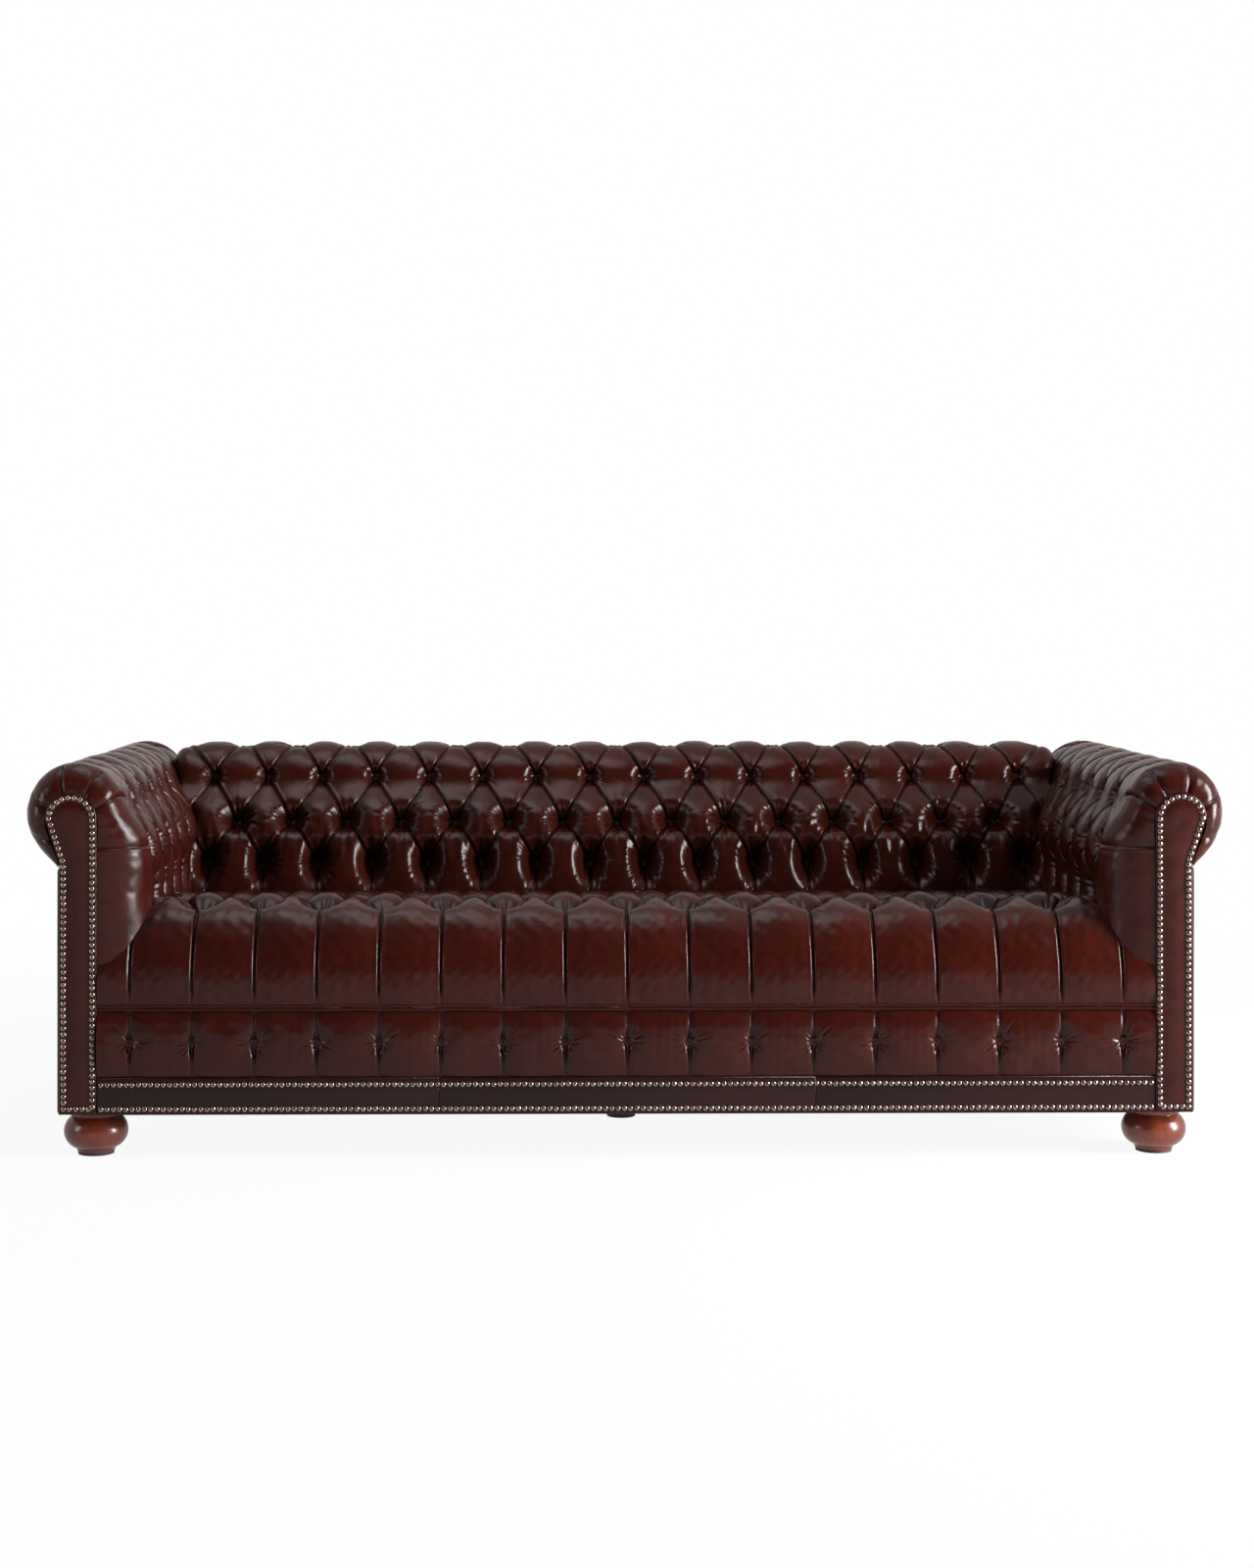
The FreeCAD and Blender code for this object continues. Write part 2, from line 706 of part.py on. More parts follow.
def foot_bolt(spot, extra):
    """Bolt from the foot up into the frame, or the hole that it passes through."""
    base = Vector(spot[0], FRONT + spot[1], FOOT_HEIGHT - BOLT_IN_FOOT)
    length = BOLT_IN_FOOT + DUST_COVER + FOOT_BLOCK_HEIGHT + NUT_THICKNESS
    return rod(base, Vector(0, 0, 1), BOLT_DIAMETER + extra, length)


def foot_block(side, depth):
    inner = SIDE_RAIL_X - FOOT_BLOCK_WIDTH
    block = box(side * inner, side * SIDE_RAIL_X, depth, depth + FOOT_BLOCK_LENGTH,
                FRAME_BOTTOM, FRAME_BOTTOM + FOOT_BLOCK_HEIGHT)
    return drilled(block, [foot_bolt(spot, BOLT_CLEARANCE) for name, spot in foot_places()])


def tee_nut(spot):
    z = FRAME_BOTTOM + FOOT_BLOCK_HEIGHT
    base = Vector(spot[0], FRONT + spot[1], z)
    flange = rod(base, Vector(0, 0, 1), NUT_FLANGE, NUT_THICKNESS)
    return flange.cut(foot_bolt(spot, BOLT_CLEARANCE / 2))


def bun_foot(spot):
    """Turned bun foot with a narrow collar at the top and a small toe."""
    toe = FOOT_TOE / 2
    widest = FOOT_DIAMETER / 2
    collar = FOOT_COLLAR / 2
    low = GLIDE_THICKNESS
    neck = FOOT_HEIGHT - COLLAR_HEIGHT
    waist = collar - COLLAR_WAIST
    belly = low + (neck - low) * FOOT_BELLY
    low_bulge = ((toe + widest) / 2 + FOOT_LOW_BULGE, low + (belly - low) * FOOT_LOW_RISE)
    high_bulge = ((waist + widest) / 2 + FOOT_HIGH_BULGE, neck - (neck - belly) * FOOT_HIGH_FALL)
    steps = [
        ((0, low), None, (toe, low)),
        ((toe, low), low_bulge, (widest, belly)),
        ((widest, belly), high_bulge, (waist, neck)),
        ((waist, neck), None, (collar, neck + COLLAR_CHAMFER)),
        ((collar, neck + COLLAR_CHAMFER), None, (collar, FOOT_HEIGHT)),
        ((collar, FOOT_HEIGHT), None, (0, FOOT_HEIGHT)),
        ((0, FOOT_HEIGHT), None, (0, low)),
    ]
    foot = turned(steps, Vector(spot[0], FRONT + spot[1], 0), Vector(0, 0, 1))
    return foot.cut(foot_bolt(spot, BOLT_CLEARANCE))


def centre_foot():
    spot = (0.0, CENTRE_FOOT_DEPTH)
    base = Vector(0, FRONT + CENTRE_FOOT_DEPTH, GLIDE_THICKNESS)
    leg = rod(base, Vector(0, 0, 1), CENTRE_FOOT_DIAMETER, FOOT_HEIGHT - GLIDE_THICKNESS)
    return leg.cut(foot_bolt(spot, BOLT_CLEARANCE))


def glide(spot, diameter):
    return rod(Vector(spot[0], FRONT + spot[1], 0), Vector(0, 0, 1), diameter, GLIDE_THICKNESS)


def domed(diameter, rim, height, base, axis):
    """Round head with an upright rim and a domed top, flat side on base."""
    radius = diameter / 2
    rise = height - rim
    sphere = (radius ** 2 + rise ** 2) / (2 * rise)
    half = math.asin(min(radius / sphere, 1.0)) / 2
    mid = (sphere * math.sin(half), height - sphere * (1 - math.cos(half)))
    steps = [((0, 0), None, (radius, 0))]
    if rim > 0:
        steps.append(((radius, 0), None, (radius, rim)))
    steps.append(((radius, rim), mid, (0, height)))
    steps.append(((0, height), None, (0, 0)))
    return turned(steps, base, axis)


def button(row, place, station):
    base = place(row.dip(0.0), station)
    axis = place(row.dip(-1.0), station) - base
    return domed(BUTTON_DIAMETER, BUTTON_RIM, BUTTON_HEIGHT, base, axis)


def column_buttons(rows, place, odd_on_whole):
    """Buttons of a quilt that is laid out in columns across the sofa."""
    made = []
    for k in range(-COLUMN_SIDE, COLUMN_SIDE + 1):
        first = 1 if (k % 2 == 0) == odd_on_whole else 0
        for row in rows[first::2]:
            made.append(button(row, place, k * TUFT_PITCH / 2))
    return group(made)


def arm_buttons(side):
    rows = arm_section()[0]
    made = []
    for depth, odd in arm_columns():
        for row in rows[1 if odd else 0::2]:
            if depth <= row.last:
                made.append(button(row, place_arm(side), depth))
    return group(made)


def border_buttons():
    made = []
    count = (COLUMN_SIDE + 1) // 2
    for i in range(-count, count + 1):
        face = FRAME_FRONT - BORDER_SWELL + BORDER_TUFT
        base = Vector(i * TUFT_PITCH, FRONT + face, BORDER_BUTTON_Z)
        made.append(domed(BORDER_BUTTON_DIAMETER, BUTTON_RIM, BUTTON_HEIGHT - 1, base, Vector(0, -1, 0)))
    return group(made)


def nail_line(wire, depth):
    """Nails at an even pitch along a wire that lies in an upright plane."""
    count = int(wire.Length / NAIL_PITCH) + 1
    made = []
    for point in wire.discretize(count):
        base = Vector(point.x, FRONT + depth, point.z)
        made.append(domed(NAIL_DIAMETER, 0.0, NAIL_HEIGHT, base, Vector(0, -1, 0)))
    return made


def facing_nails(side):
    """Nails round the edge of an arm facing, and along the bottom of it."""
    radius = HEAD_RADIUS - NAIL_MARGIN
    bottom = BAND_NAIL_LOW - ROLL_Z
    right = (radius - HEAD_U, -HEAD_DROP)
    left = (-radius - HEAD_U, -HEAD_DROP)
    neck = (-BODY_OUTER + NAIL_MARGIN, -ROLL_LEAF + TUCK_OUT)
    ends = [(neck[0], bottom), (right[0], bottom)]
    steps = [(ends[1], None, right), (right, (-HEAD_U, radius - HEAD_DROP), left)]
    steps += lines([left, neck, ends[0]])
    place = place_arm(side)
    moved = [edge(*[None if p is None else place(p, 0.0) for p in step]) for step in steps]
    foot = edge(place(ends[0], 0.0), None, place(ends[1], 0.0))
    return group(nail_line(Part.Wire(moved), 0.0) + nail_line(Part.Wire([foot]), 0.0)[1:-1])


def band_nails():
    half = POST_INNER_X - NAIL_MARGIN
    made = []
    for z in (BAND_NAIL_LOW, BAND_NAIL_HIGH):
        line = Part.LineSegment(Vector(-half, FRONT, z), Vector(half, FRONT, z)).toShape()
        made += nail_line(Part.Wire([line]), BAND_FRONT)
    return group(made)


def sinuous_spring(x):
    """Wire that snakes from the front rail to the rear seat rail in one flat plane."""
    z = SEAT_RAIL_TOP + CLIP_THICKNESS + SPRING_WIRE / 2
    first = FRAME_FRONT + BOARD / 2
    span = REAR_RAIL_DEPTH - FRAME_FRONT
    turn = span / SPRING_TURNS / 2
    half = SPRING_SPAN / 2
    edges = []
    for i in range(SPRING_TURNS + 1):
        way = 1 if i % 2 == 0 else -1
        depth = FRONT + first + 2 * turn * i
        left = Vector(x - way * half, depth, z)
        right = Vector(x + way * half, depth, z)
        edges.append(Part.LineSegment(left, right).toShape())
        if i < SPRING_TURNS:
            out = Vector(right.x + way * turn, depth + turn, z)
            edges.append(Part.Arc(right, out, Vector(right.x, depth + 2 * turn, z)).toShape())
    path = Part.Wire(edges)
    start = Vector(x - half, FRONT + first, z)
    ring = Part.Wire([Part.makeCircle(SPRING_WIRE / 2, start, Vector(1, 0, 0))])
    return path.makePipeShell([ring], True, False)


def spring_places():
    first = -(SPRING_COUNT - 1) / 2 * SPRING_PITCH
    return [first + i * SPRING_PITCH for i in range(SPRING_COUNT)]


def spring_clips():
    made = []
    z = SEAT_RAIL_TOP
    for x in spring_places():
        for rail in (FRAME_FRONT, REAR_RAIL_DEPTH):
            middle = rail + BOARD / 2
            made.append(box(x - CLIP_WIDTH / 2, x + CLIP_WIDTH / 2, middle - CLIP_LENGTH / 2,
                            middle + CLIP_LENGTH / 2, z, z + CLIP_THICKNESS))
    return group(made)


def back_slope(share, lift):
    """Point on the leaning plane that the back stuffing lies against."""
    low = (BODY_INNER + BACK_LEAN, BACK_FOAM_BOTTOM - ROLL_Z)
    knee = (BODY_INNER, -HEAD_DROP - KNEE_DROP)
    return (low[0] + (knee[0] - low[0]) * share - lift, low[1] + (knee[1] - low[1]) * share)


def back_stile(x):
    """Upright of the back, leaning where the stuffing leans."""
    low = back_slope(0.0, WEB_THICKNESS)
    knee = back_slope(1.0, WEB_THICKNESS)
    foot = SEAT_RAIL_TOP - ROLL_Z
    points = [(-BODY_OUTER, foot), (low[0], foot), low, knee, (knee[0], -HEAD_DROP),
              (-BODY_OUTER, -HEAD_DROP), (-BODY_OUTER, foot)]
    wire = section_wire(lines(points), place_back, x - STILE_WIDTH / 2)
    return Part.Face(wire).extrude(Vector(STILE_WIDTH, 0, 0))


def back_web(share):
    """Strip of webbing across the stiles."""
    reach = STILE_X + STILE_WIDTH / 2
    slope = BACK_LEAN + ROLL_Z - BACK_FOAM_BOTTOM
    width = WEB_WIDTH / slope
    points = [back_slope(share, 0.0), back_slope(share + width, 0.0),
              back_slope(share + width, WEB_THICKNESS), back_slope(share, WEB_THICKNESS)]
    wire = section_wire(lines(points + points[:1]), place_back, -reach)
    return Part.Face(wire).extrude(Vector(2 * reach, 0, 0))


def roll_end(side):
    """Padded leather end that closes the rear of an arm roll."""
    radius = ROLL_RADIUS - ROLL_END_EASE
    length = DEPTH - NAIL_HEIGHT - FRAME_REAR
    rim, shoulder, crown = [(radius * out, length * along) for out, along in ROLL_END_STEPS]
    steps = [
        ((0, 0), None, (radius, 0)),
        ((radius, 0), None, rim),
        (rim, shoulder, crown),
        (crown, None, (0, length)),
        ((0, length), None, (0, 0)),
    ]
    return turned(steps, place_arm(side)((0.0, 0.0), FRAME_REAR), Vector(0, 1, 0))


def build_frame():
    save(box(-POST_INNER_X, POST_INNER_X, FRAME_FRONT, POST_BACK, FRAME_BOTTOM, SEAT_RAIL_TOP),
         "front_rail")
    save(box(-POST_INNER_X, POST_INNER_X, FRAME_REAR - BOARD, FRAME_REAR, FRAME_BOTTOM,
             SEAT_RAIL_TOP), "back_rail")
    save(box(-SIDE_RAIL_X, SIDE_RAIL_X, REAR_RAIL_DEPTH, REAR_RAIL_DEPTH + BOARD, FRAME_BOTTOM,
             SEAT_RAIL_TOP), "rear_seat_rail")
    rail_top = FRAME_BOTTOM + SIDE_RAIL_HEIGHT
    save(both(lambda side: drilled(
        box(side * SIDE_RAIL_X, side * POST_OUTER_X, POST_BACK, REAR_POST_FRONT, FRAME_BOTTOM,
            rail_top), rail_bolt_holes())), "side_rails")
    save(both(lambda side: keyhole_board(side, FRAME_FRONT, BOARD)), "arm_posts")
    save(both(lambda side: keyhole_board(side, REAR_POST_FRONT, POST_REAR)), "rear_posts")
    run = REAR_POST_FRONT - POST_BACK
    save(both(lambda side: half_round(place_arm(side), POST_BACK, Vector(0, run, 0))), "arm_roll_rails")
    reach = STILE_X + STILE_WIDTH
    save(half_round(place_back, -reach, Vector(2 * reach, 0, 0)), "back_roll_rail")
    inner = BODY_INNER - WEB_THICKNESS
    uprights = []
    for side in (-1, 1):
        for share in ARM_UPRIGHT_SHARES:
            middle = POST_BACK + run * share
            uprights.append(arm_box(side, -BODY_OUTER, inner - BOARD, middle - STILE_WIDTH / 2,
                                    middle + STILE_WIDTH / 2, rail_top, ROLL_Z - HEAD_DROP))
    save(group(uprights), "arm_uprights")
    low = SEAT_RAIL_TOP + CLIP_THICKNESS
    save(both(lambda side: arm_box(side, inner - BOARD, inner, POST_BACK, REAR_POST_FRONT,
                                   low, low + TACK_RAIL)), "arm_tacking_rails")
    save(group([back_stile(x) for x in (-STILE_X, -STILE_X / 2, 0.0, STILE_X / 2, STILE_X)]),
         "back_stiles")
    face = BACK_ROLL_DEPTH - back_slope(0.0, WEB_THICKNESS)[0]
    save(box(-STILE_X, STILE_X, face - BOARD, face, BACK_FOAM_BOTTOM - TACK_RAIL, BACK_FOAM_BOTTOM),
         "back_tacking_rail")
    braces = []
    for x in (-BRACE_X, 0.0, BRACE_X):
        braces.append(box(x - BOARD / 2, x + BOARD / 2, POST_BACK, REAR_RAIL_DEPTH, FRAME_BOTTOM,
                          FRAME_BOTTOM + BRACE_HEIGHT))
    braces[1] = braces[1].cut(foot_bolt(bolt_spots()[-1], BOLT_CLEARANCE))
    save(group(braces), "seat_braces")
    save(group([corner_block(side, depth) for side, depth, foot in corner_places()]), "corner_blocks")
    save(group([foot_block(side, foot) for side, depth, foot in corner_places()]), "foot_blocks")
    save(group([rail_bolt(side, depth, 0.0, True) for side, depth, foot in corner_places()]),
         "rail_bolts")


def build_suspension():
    save(group([sinuous_spring(x) for x in spring_places()]), "seat_springs")
    save(spring_clips(), "spring_clips")
    save(box(-POST_INNER_X + CAP_MARGIN, POST_INNER_X - CAP_MARGIN, FRAME_FRONT,
             REAR_RAIL_DEPTH + BOARD, DECK_TOP - DECK_THICKNESS, DECK_TOP), "seat_deck")
    webs = []
    for side in (-1, 1):
        for lift in ARM_WEB_LIFTS:
            z = ARM_FOAM_BOTTOM + (ROLL_Z - ARM_FOAM_BOTTOM) * lift
            webs.append(arm_box(side, BODY_INNER - WEB_THICKNESS, BODY_INNER, POST_BACK,
                                REAR_POST_FRONT, z, z + WEB_WIDTH))
    save(group(webs), "arm_webbing")
    save(group([back_web(lift) for lift in BACK_WEB_LIFTS]), "back_webbing")


def build_upholstery():
    for side, hand in ((-1, "left"), (1, "right")):
        cover, foam = arm_upholstery(side)
        save(cover, "arm_cover_" + hand)
        save(foam, "arm_foam_" + hand)
        save(roll_end(side), "roll_end_" + hand)
        save(seat_corner(side), "seat_corner_" + hand)
        save(keyhole_board(side, 0.0, FACING_THICKNESS), "arm_facing_" + hand)
        save(arm_box(side, -BODY_OUTER - PANEL, -BODY_OUTER, FRAME_FRONT, FRAME_REAR, FOOT_HEIGHT,
                     ROLL_Z - ROLL_LEAF), "outside_arm_" + hand)
        save(arm_buttons(side), "arm_buttons_" + hand)
        save(facing_nails(side), "facing_nails_" + hand)
    cover, foam = back_upholstery()
    save(cover, "back_cover")
    save(foam, "back_foam")
    save(column_buttons(back_section()[0], place_back, True), "back_buttons")
    cover, foam = seat_upholstery()
    save(cover, "seat_cover")
    save(foam, "seat_foam")
    save(column_buttons(seat_section()[0], place_depth, False), "seat_buttons")
    cover, foam = border_upholstery()
    save(cover, "border_cover")
    save(foam, "border_pad")
    save(border_buttons(), "border_buttons")
    outer = POST_OUTER_X + PANEL
    save(box(-outer, outer, FRAME_REAR, FRAME_REAR + PANEL, FOOT_HEIGHT, ROLL_Z - ROLL_LEAF),
         "outside_back")


def build_front():
    half = POST_INNER_X - SOFT_GAP
    seams = (-half, -BAND_SEAM, BAND_SEAM, half)
    save(group([box(seams[i], seams[i + 1], BAND_FRONT, FRAME_FRONT, FOOT_HEIGHT, BAND_TOP)
                for i in range(3)]), "base_band")
    save(band_nails(), "band_nails")
    cords = []
    for lift in (-0.5, 0.5):
        base = Vector(-half, FRONT + WELT_FRONT + WELT_DIAMETER / 2, WELT_Z + lift * WELT_DIAMETER)
        cords.append(rod(base, Vector(1, 0, 0), WELT_DIAMETER, 2 * half))
    save(group(cords), "front_welt")


def build_feet():
    for name, spot in foot_places():
        save(bun_foot(spot), "bun_foot_" + name)
    save(centre_foot(), "centre_foot")
    glides = [glide(spot, GLIDE_DIAMETER) for name, spot in foot_places()]
    glides.append(glide((0.0, CENTRE_FOOT_DEPTH), CENTRE_FOOT_DIAMETER))
    save(group(glides), "foot_glides")
    save(group([foot_bolt(spot, 0.0) for spot in bolt_spots()]), "foot_bolts")
    save(group([tee_nut(spot) for name, spot in foot_places()]), "tee_nuts")
    cover = box(-POST_OUTER_X, POST_OUTER_X, FRAME_FRONT, FRAME_REAR, FOOT_HEIGHT, FRAME_BOTTOM)
    save(drilled(cover, [foot_bolt(spot, BOLT_CLEARANCE) for spot in bolt_spots()]), "dust_cover")


build_frame()
build_suspension()
build_upholstery()
build_front()
build_feet()
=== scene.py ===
import bpy
import json
import math
import numpy as np
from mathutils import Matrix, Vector


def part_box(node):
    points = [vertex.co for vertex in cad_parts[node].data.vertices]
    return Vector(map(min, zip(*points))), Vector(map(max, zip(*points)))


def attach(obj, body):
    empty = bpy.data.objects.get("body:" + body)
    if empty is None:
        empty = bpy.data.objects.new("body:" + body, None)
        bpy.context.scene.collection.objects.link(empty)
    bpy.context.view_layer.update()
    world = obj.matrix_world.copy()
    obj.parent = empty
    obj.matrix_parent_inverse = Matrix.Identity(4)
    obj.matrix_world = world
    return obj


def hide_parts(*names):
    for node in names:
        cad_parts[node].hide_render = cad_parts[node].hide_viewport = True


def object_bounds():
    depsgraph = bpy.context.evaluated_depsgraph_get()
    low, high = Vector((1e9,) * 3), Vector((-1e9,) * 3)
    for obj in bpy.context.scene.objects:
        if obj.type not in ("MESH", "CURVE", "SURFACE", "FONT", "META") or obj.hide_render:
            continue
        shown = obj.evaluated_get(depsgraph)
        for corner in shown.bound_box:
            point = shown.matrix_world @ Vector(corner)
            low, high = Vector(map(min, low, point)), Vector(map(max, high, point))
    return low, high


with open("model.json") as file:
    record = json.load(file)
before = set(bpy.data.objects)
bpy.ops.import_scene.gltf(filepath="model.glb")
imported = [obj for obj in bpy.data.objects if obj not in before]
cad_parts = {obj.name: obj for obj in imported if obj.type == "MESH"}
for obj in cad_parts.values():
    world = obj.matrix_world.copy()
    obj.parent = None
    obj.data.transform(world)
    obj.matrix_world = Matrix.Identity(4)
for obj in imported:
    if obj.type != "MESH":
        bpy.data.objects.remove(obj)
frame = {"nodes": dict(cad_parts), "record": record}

cad_low, cad_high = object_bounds()

# Sizes of the object, in metres
PITCH = 0.120
HALF_PITCH = PITCH / 2
ROLL_RADIUS = 0.097
HEAD_RADIUS = 0.050
HEAD_U = 0.001
HEAD_DROP = 0.009
POST_INNER = 0.049
POST_OUTER = 0.023
ROLL_LEAF = 0.102
FACING = 0.008
NAIL_RADIUS = 0.0053
NAIL_HEIGHT = 0.0036
NAIL_PITCH = 0.012
NAIL_MARGIN = 0.0085
SIDES = ((-1, "left"), (1, "right"))

# Places, read from the frame
facing_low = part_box("arm_facing_left")[0]
FRONT = facing_low.y
ARM_ROLL_X = cad_high.x - ROLL_RADIUS
ROLL_Z = cad_high.z - ROLL_RADIUS
BACK_ROLL_DEPTH = cad_high.y - FRONT - ROLL_RADIUS
BASE_BOTTOM = facing_low.z
POST_INNER_X = ARM_ROLL_X - POST_INNER
FRAME_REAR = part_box("back_rail")[1].y - FRONT
SEAT_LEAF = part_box("seat_cover")[0].z
SEAT_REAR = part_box("seat_cover")[1].y - FRONT - 0.002
BACK_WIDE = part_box("back_cover")[1].x
BAND_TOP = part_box("base_band")[1].z
WELT_LOW, WELT_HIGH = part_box("front_welt")


# Noise and sections

def share(value):
    """The value, held between 0 and 1."""
    return np.clip(value, 0, 1)


def bell(distance, width):
    return np.exp(-(distance / width) ** 2)


def waves(x, y, size, seed, count=10):
    """Smooth uneven field about -1 to 1, with features of about the given size."""
    rng = np.random.default_rng(seed)
    total = np.zeros(np.broadcast(x, y).shape)
    for _ in range(count):
        turn = rng.uniform(0, math.pi)
        pace = 2 * math.pi / size * rng.uniform(0.5, 1.3)
        phase = rng.uniform(0, 2 * math.pi)
        total += np.sin((x * math.cos(turn) + y * math.sin(turn)) * pace + phase)
    return total / math.sqrt(count)


class Section:
    """Smooth outline through stops (t, u, v, angle of the outward normal)."""

    def __init__(self, stops):
        self.stops = np.array(stops, float)
        self.fine = np.linspace(self.stops[0, 0], self.stops[-1, 0], 1200)
        steps = np.hypot(*np.diff(self.at(self.fine), axis=0).T)
        self.length = np.concatenate([[0], np.cumsum(steps)])

    def at(self, t):
        t = np.asarray(t, float)
        k = np.clip(np.searchsorted(self.stops[:, 0], t, side="right") - 1, 0, len(self.stops) - 2)
        a, b = self.stops[k], self.stops[k + 1]
        f = (t - a[..., 0]) / (b[..., 0] - a[..., 0])
        chord = np.hypot(b[..., 1] - a[..., 1], b[..., 2] - a[..., 2])
        bend = np.radians(a[..., 3] - b[..., 3])
        reach = chord / np.cos(bend / 4) ** 2
        turn_a, turn_b = np.radians(a[..., 3]), np.radians(b[..., 3])
        start, end = 2 * f ** 3 - 3 * f ** 2 + 1, 3 * f ** 2 - 2 * f ** 3
        leave, arrive = (f ** 3 - 2 * f ** 2 + f) * reach, (f ** 3 - f ** 2) * reach
        u = start * a[..., 1] + end * b[..., 1] + leave * np.sin(turn_a) + arrive * np.sin(turn_b)
        v = start * a[..., 2] + end * b[..., 2] - leave * np.cos(turn_a) - arrive * np.cos(turn_b)
        return np.stack([u, v], -1)

    def arc(self, t):
        return np.interp(t, self.fine, self.length)


def normals_of(grid):
    along = np.gradient(grid, axis=1)
    across = np.gradient(grid, axis=0)
    n = np.cross(along, across)
    return n / np.maximum(np.linalg.norm(n, axis=-1, keepdims=True), 1e-12)


# Tufting

FOLD_SPACING = 0.104
FOLD_REACH = 0.020
GRID_PULL = 0.3
LIP_HEIGHT, LIP_PLACE, LIP_WIDTH = 0.0014, 0.0052, 0.0028
GROOVE_DEPTH, GROOVE_WIDTH = 0.0034, 0.0017
STEP_DEPTH, STEP_WIDTH = 0.0010, 0.006
DARK_WIDTH = 0.0019
CAP_DARK_WIDTH = 0.0022
DIP_SHADE_WIDTH = 0.012
WRINKLE_DEPTH, WRINKLE_WIDTH = 0.0021, 0.0013
WRINKLE_START = 0.006
WRINKLE_ALONG, WRINKLE_ACROSS = 0.075, 0.09
FEWEST_WRINKLES, MOST_WRINKLES = 15, 20
BOWL_SHARPNESS = 1.3


def lattice(first, last, cell):
    """Places on a row of unit cells, closer together near each whole number."""
    u = np.linspace(first, last, int(round((last - first) * cell)) + 1)
    return u - GRID_PULL * np.sin(2 * math.pi * u) / (2 * math.pi)


def fold(d, dark_width=DARK_WIDTH):
    """Lip and groove of a sewn pleat at signed distance d, and the painted shade in its groove."""
    lip = LIP_HEIGHT * bell(d - LIP_PLACE, LIP_WIDTH)
    groove = -GROOVE_DEPTH * bell(d, GROOVE_WIDTH)
    lower = -STEP_DEPTH * np.exp(-np.abs(d) / STEP_WIDTH) * (d < 0)
    return lip + groove + lower, bell(d, dark_width)


def wrinkle(dx, dy, turn, reach, start, spread):
    """Height of one fold that runs out from a button in the direction of turn."""
    c, v = math.cos(turn), math.sin(turn)
    out, side = dx * c + dy * v, dy * c - dx * v
    beyond = np.maximum(out, 0)
    fade = share((out - WRINKLE_START) / start) * np.exp(-(beyond / reach) ** 3)
    q = (side / (WRINKLE_WIDTH + spread * beyond)) ** 2
    return fade * np.exp(-q / 2) * (q - 1)


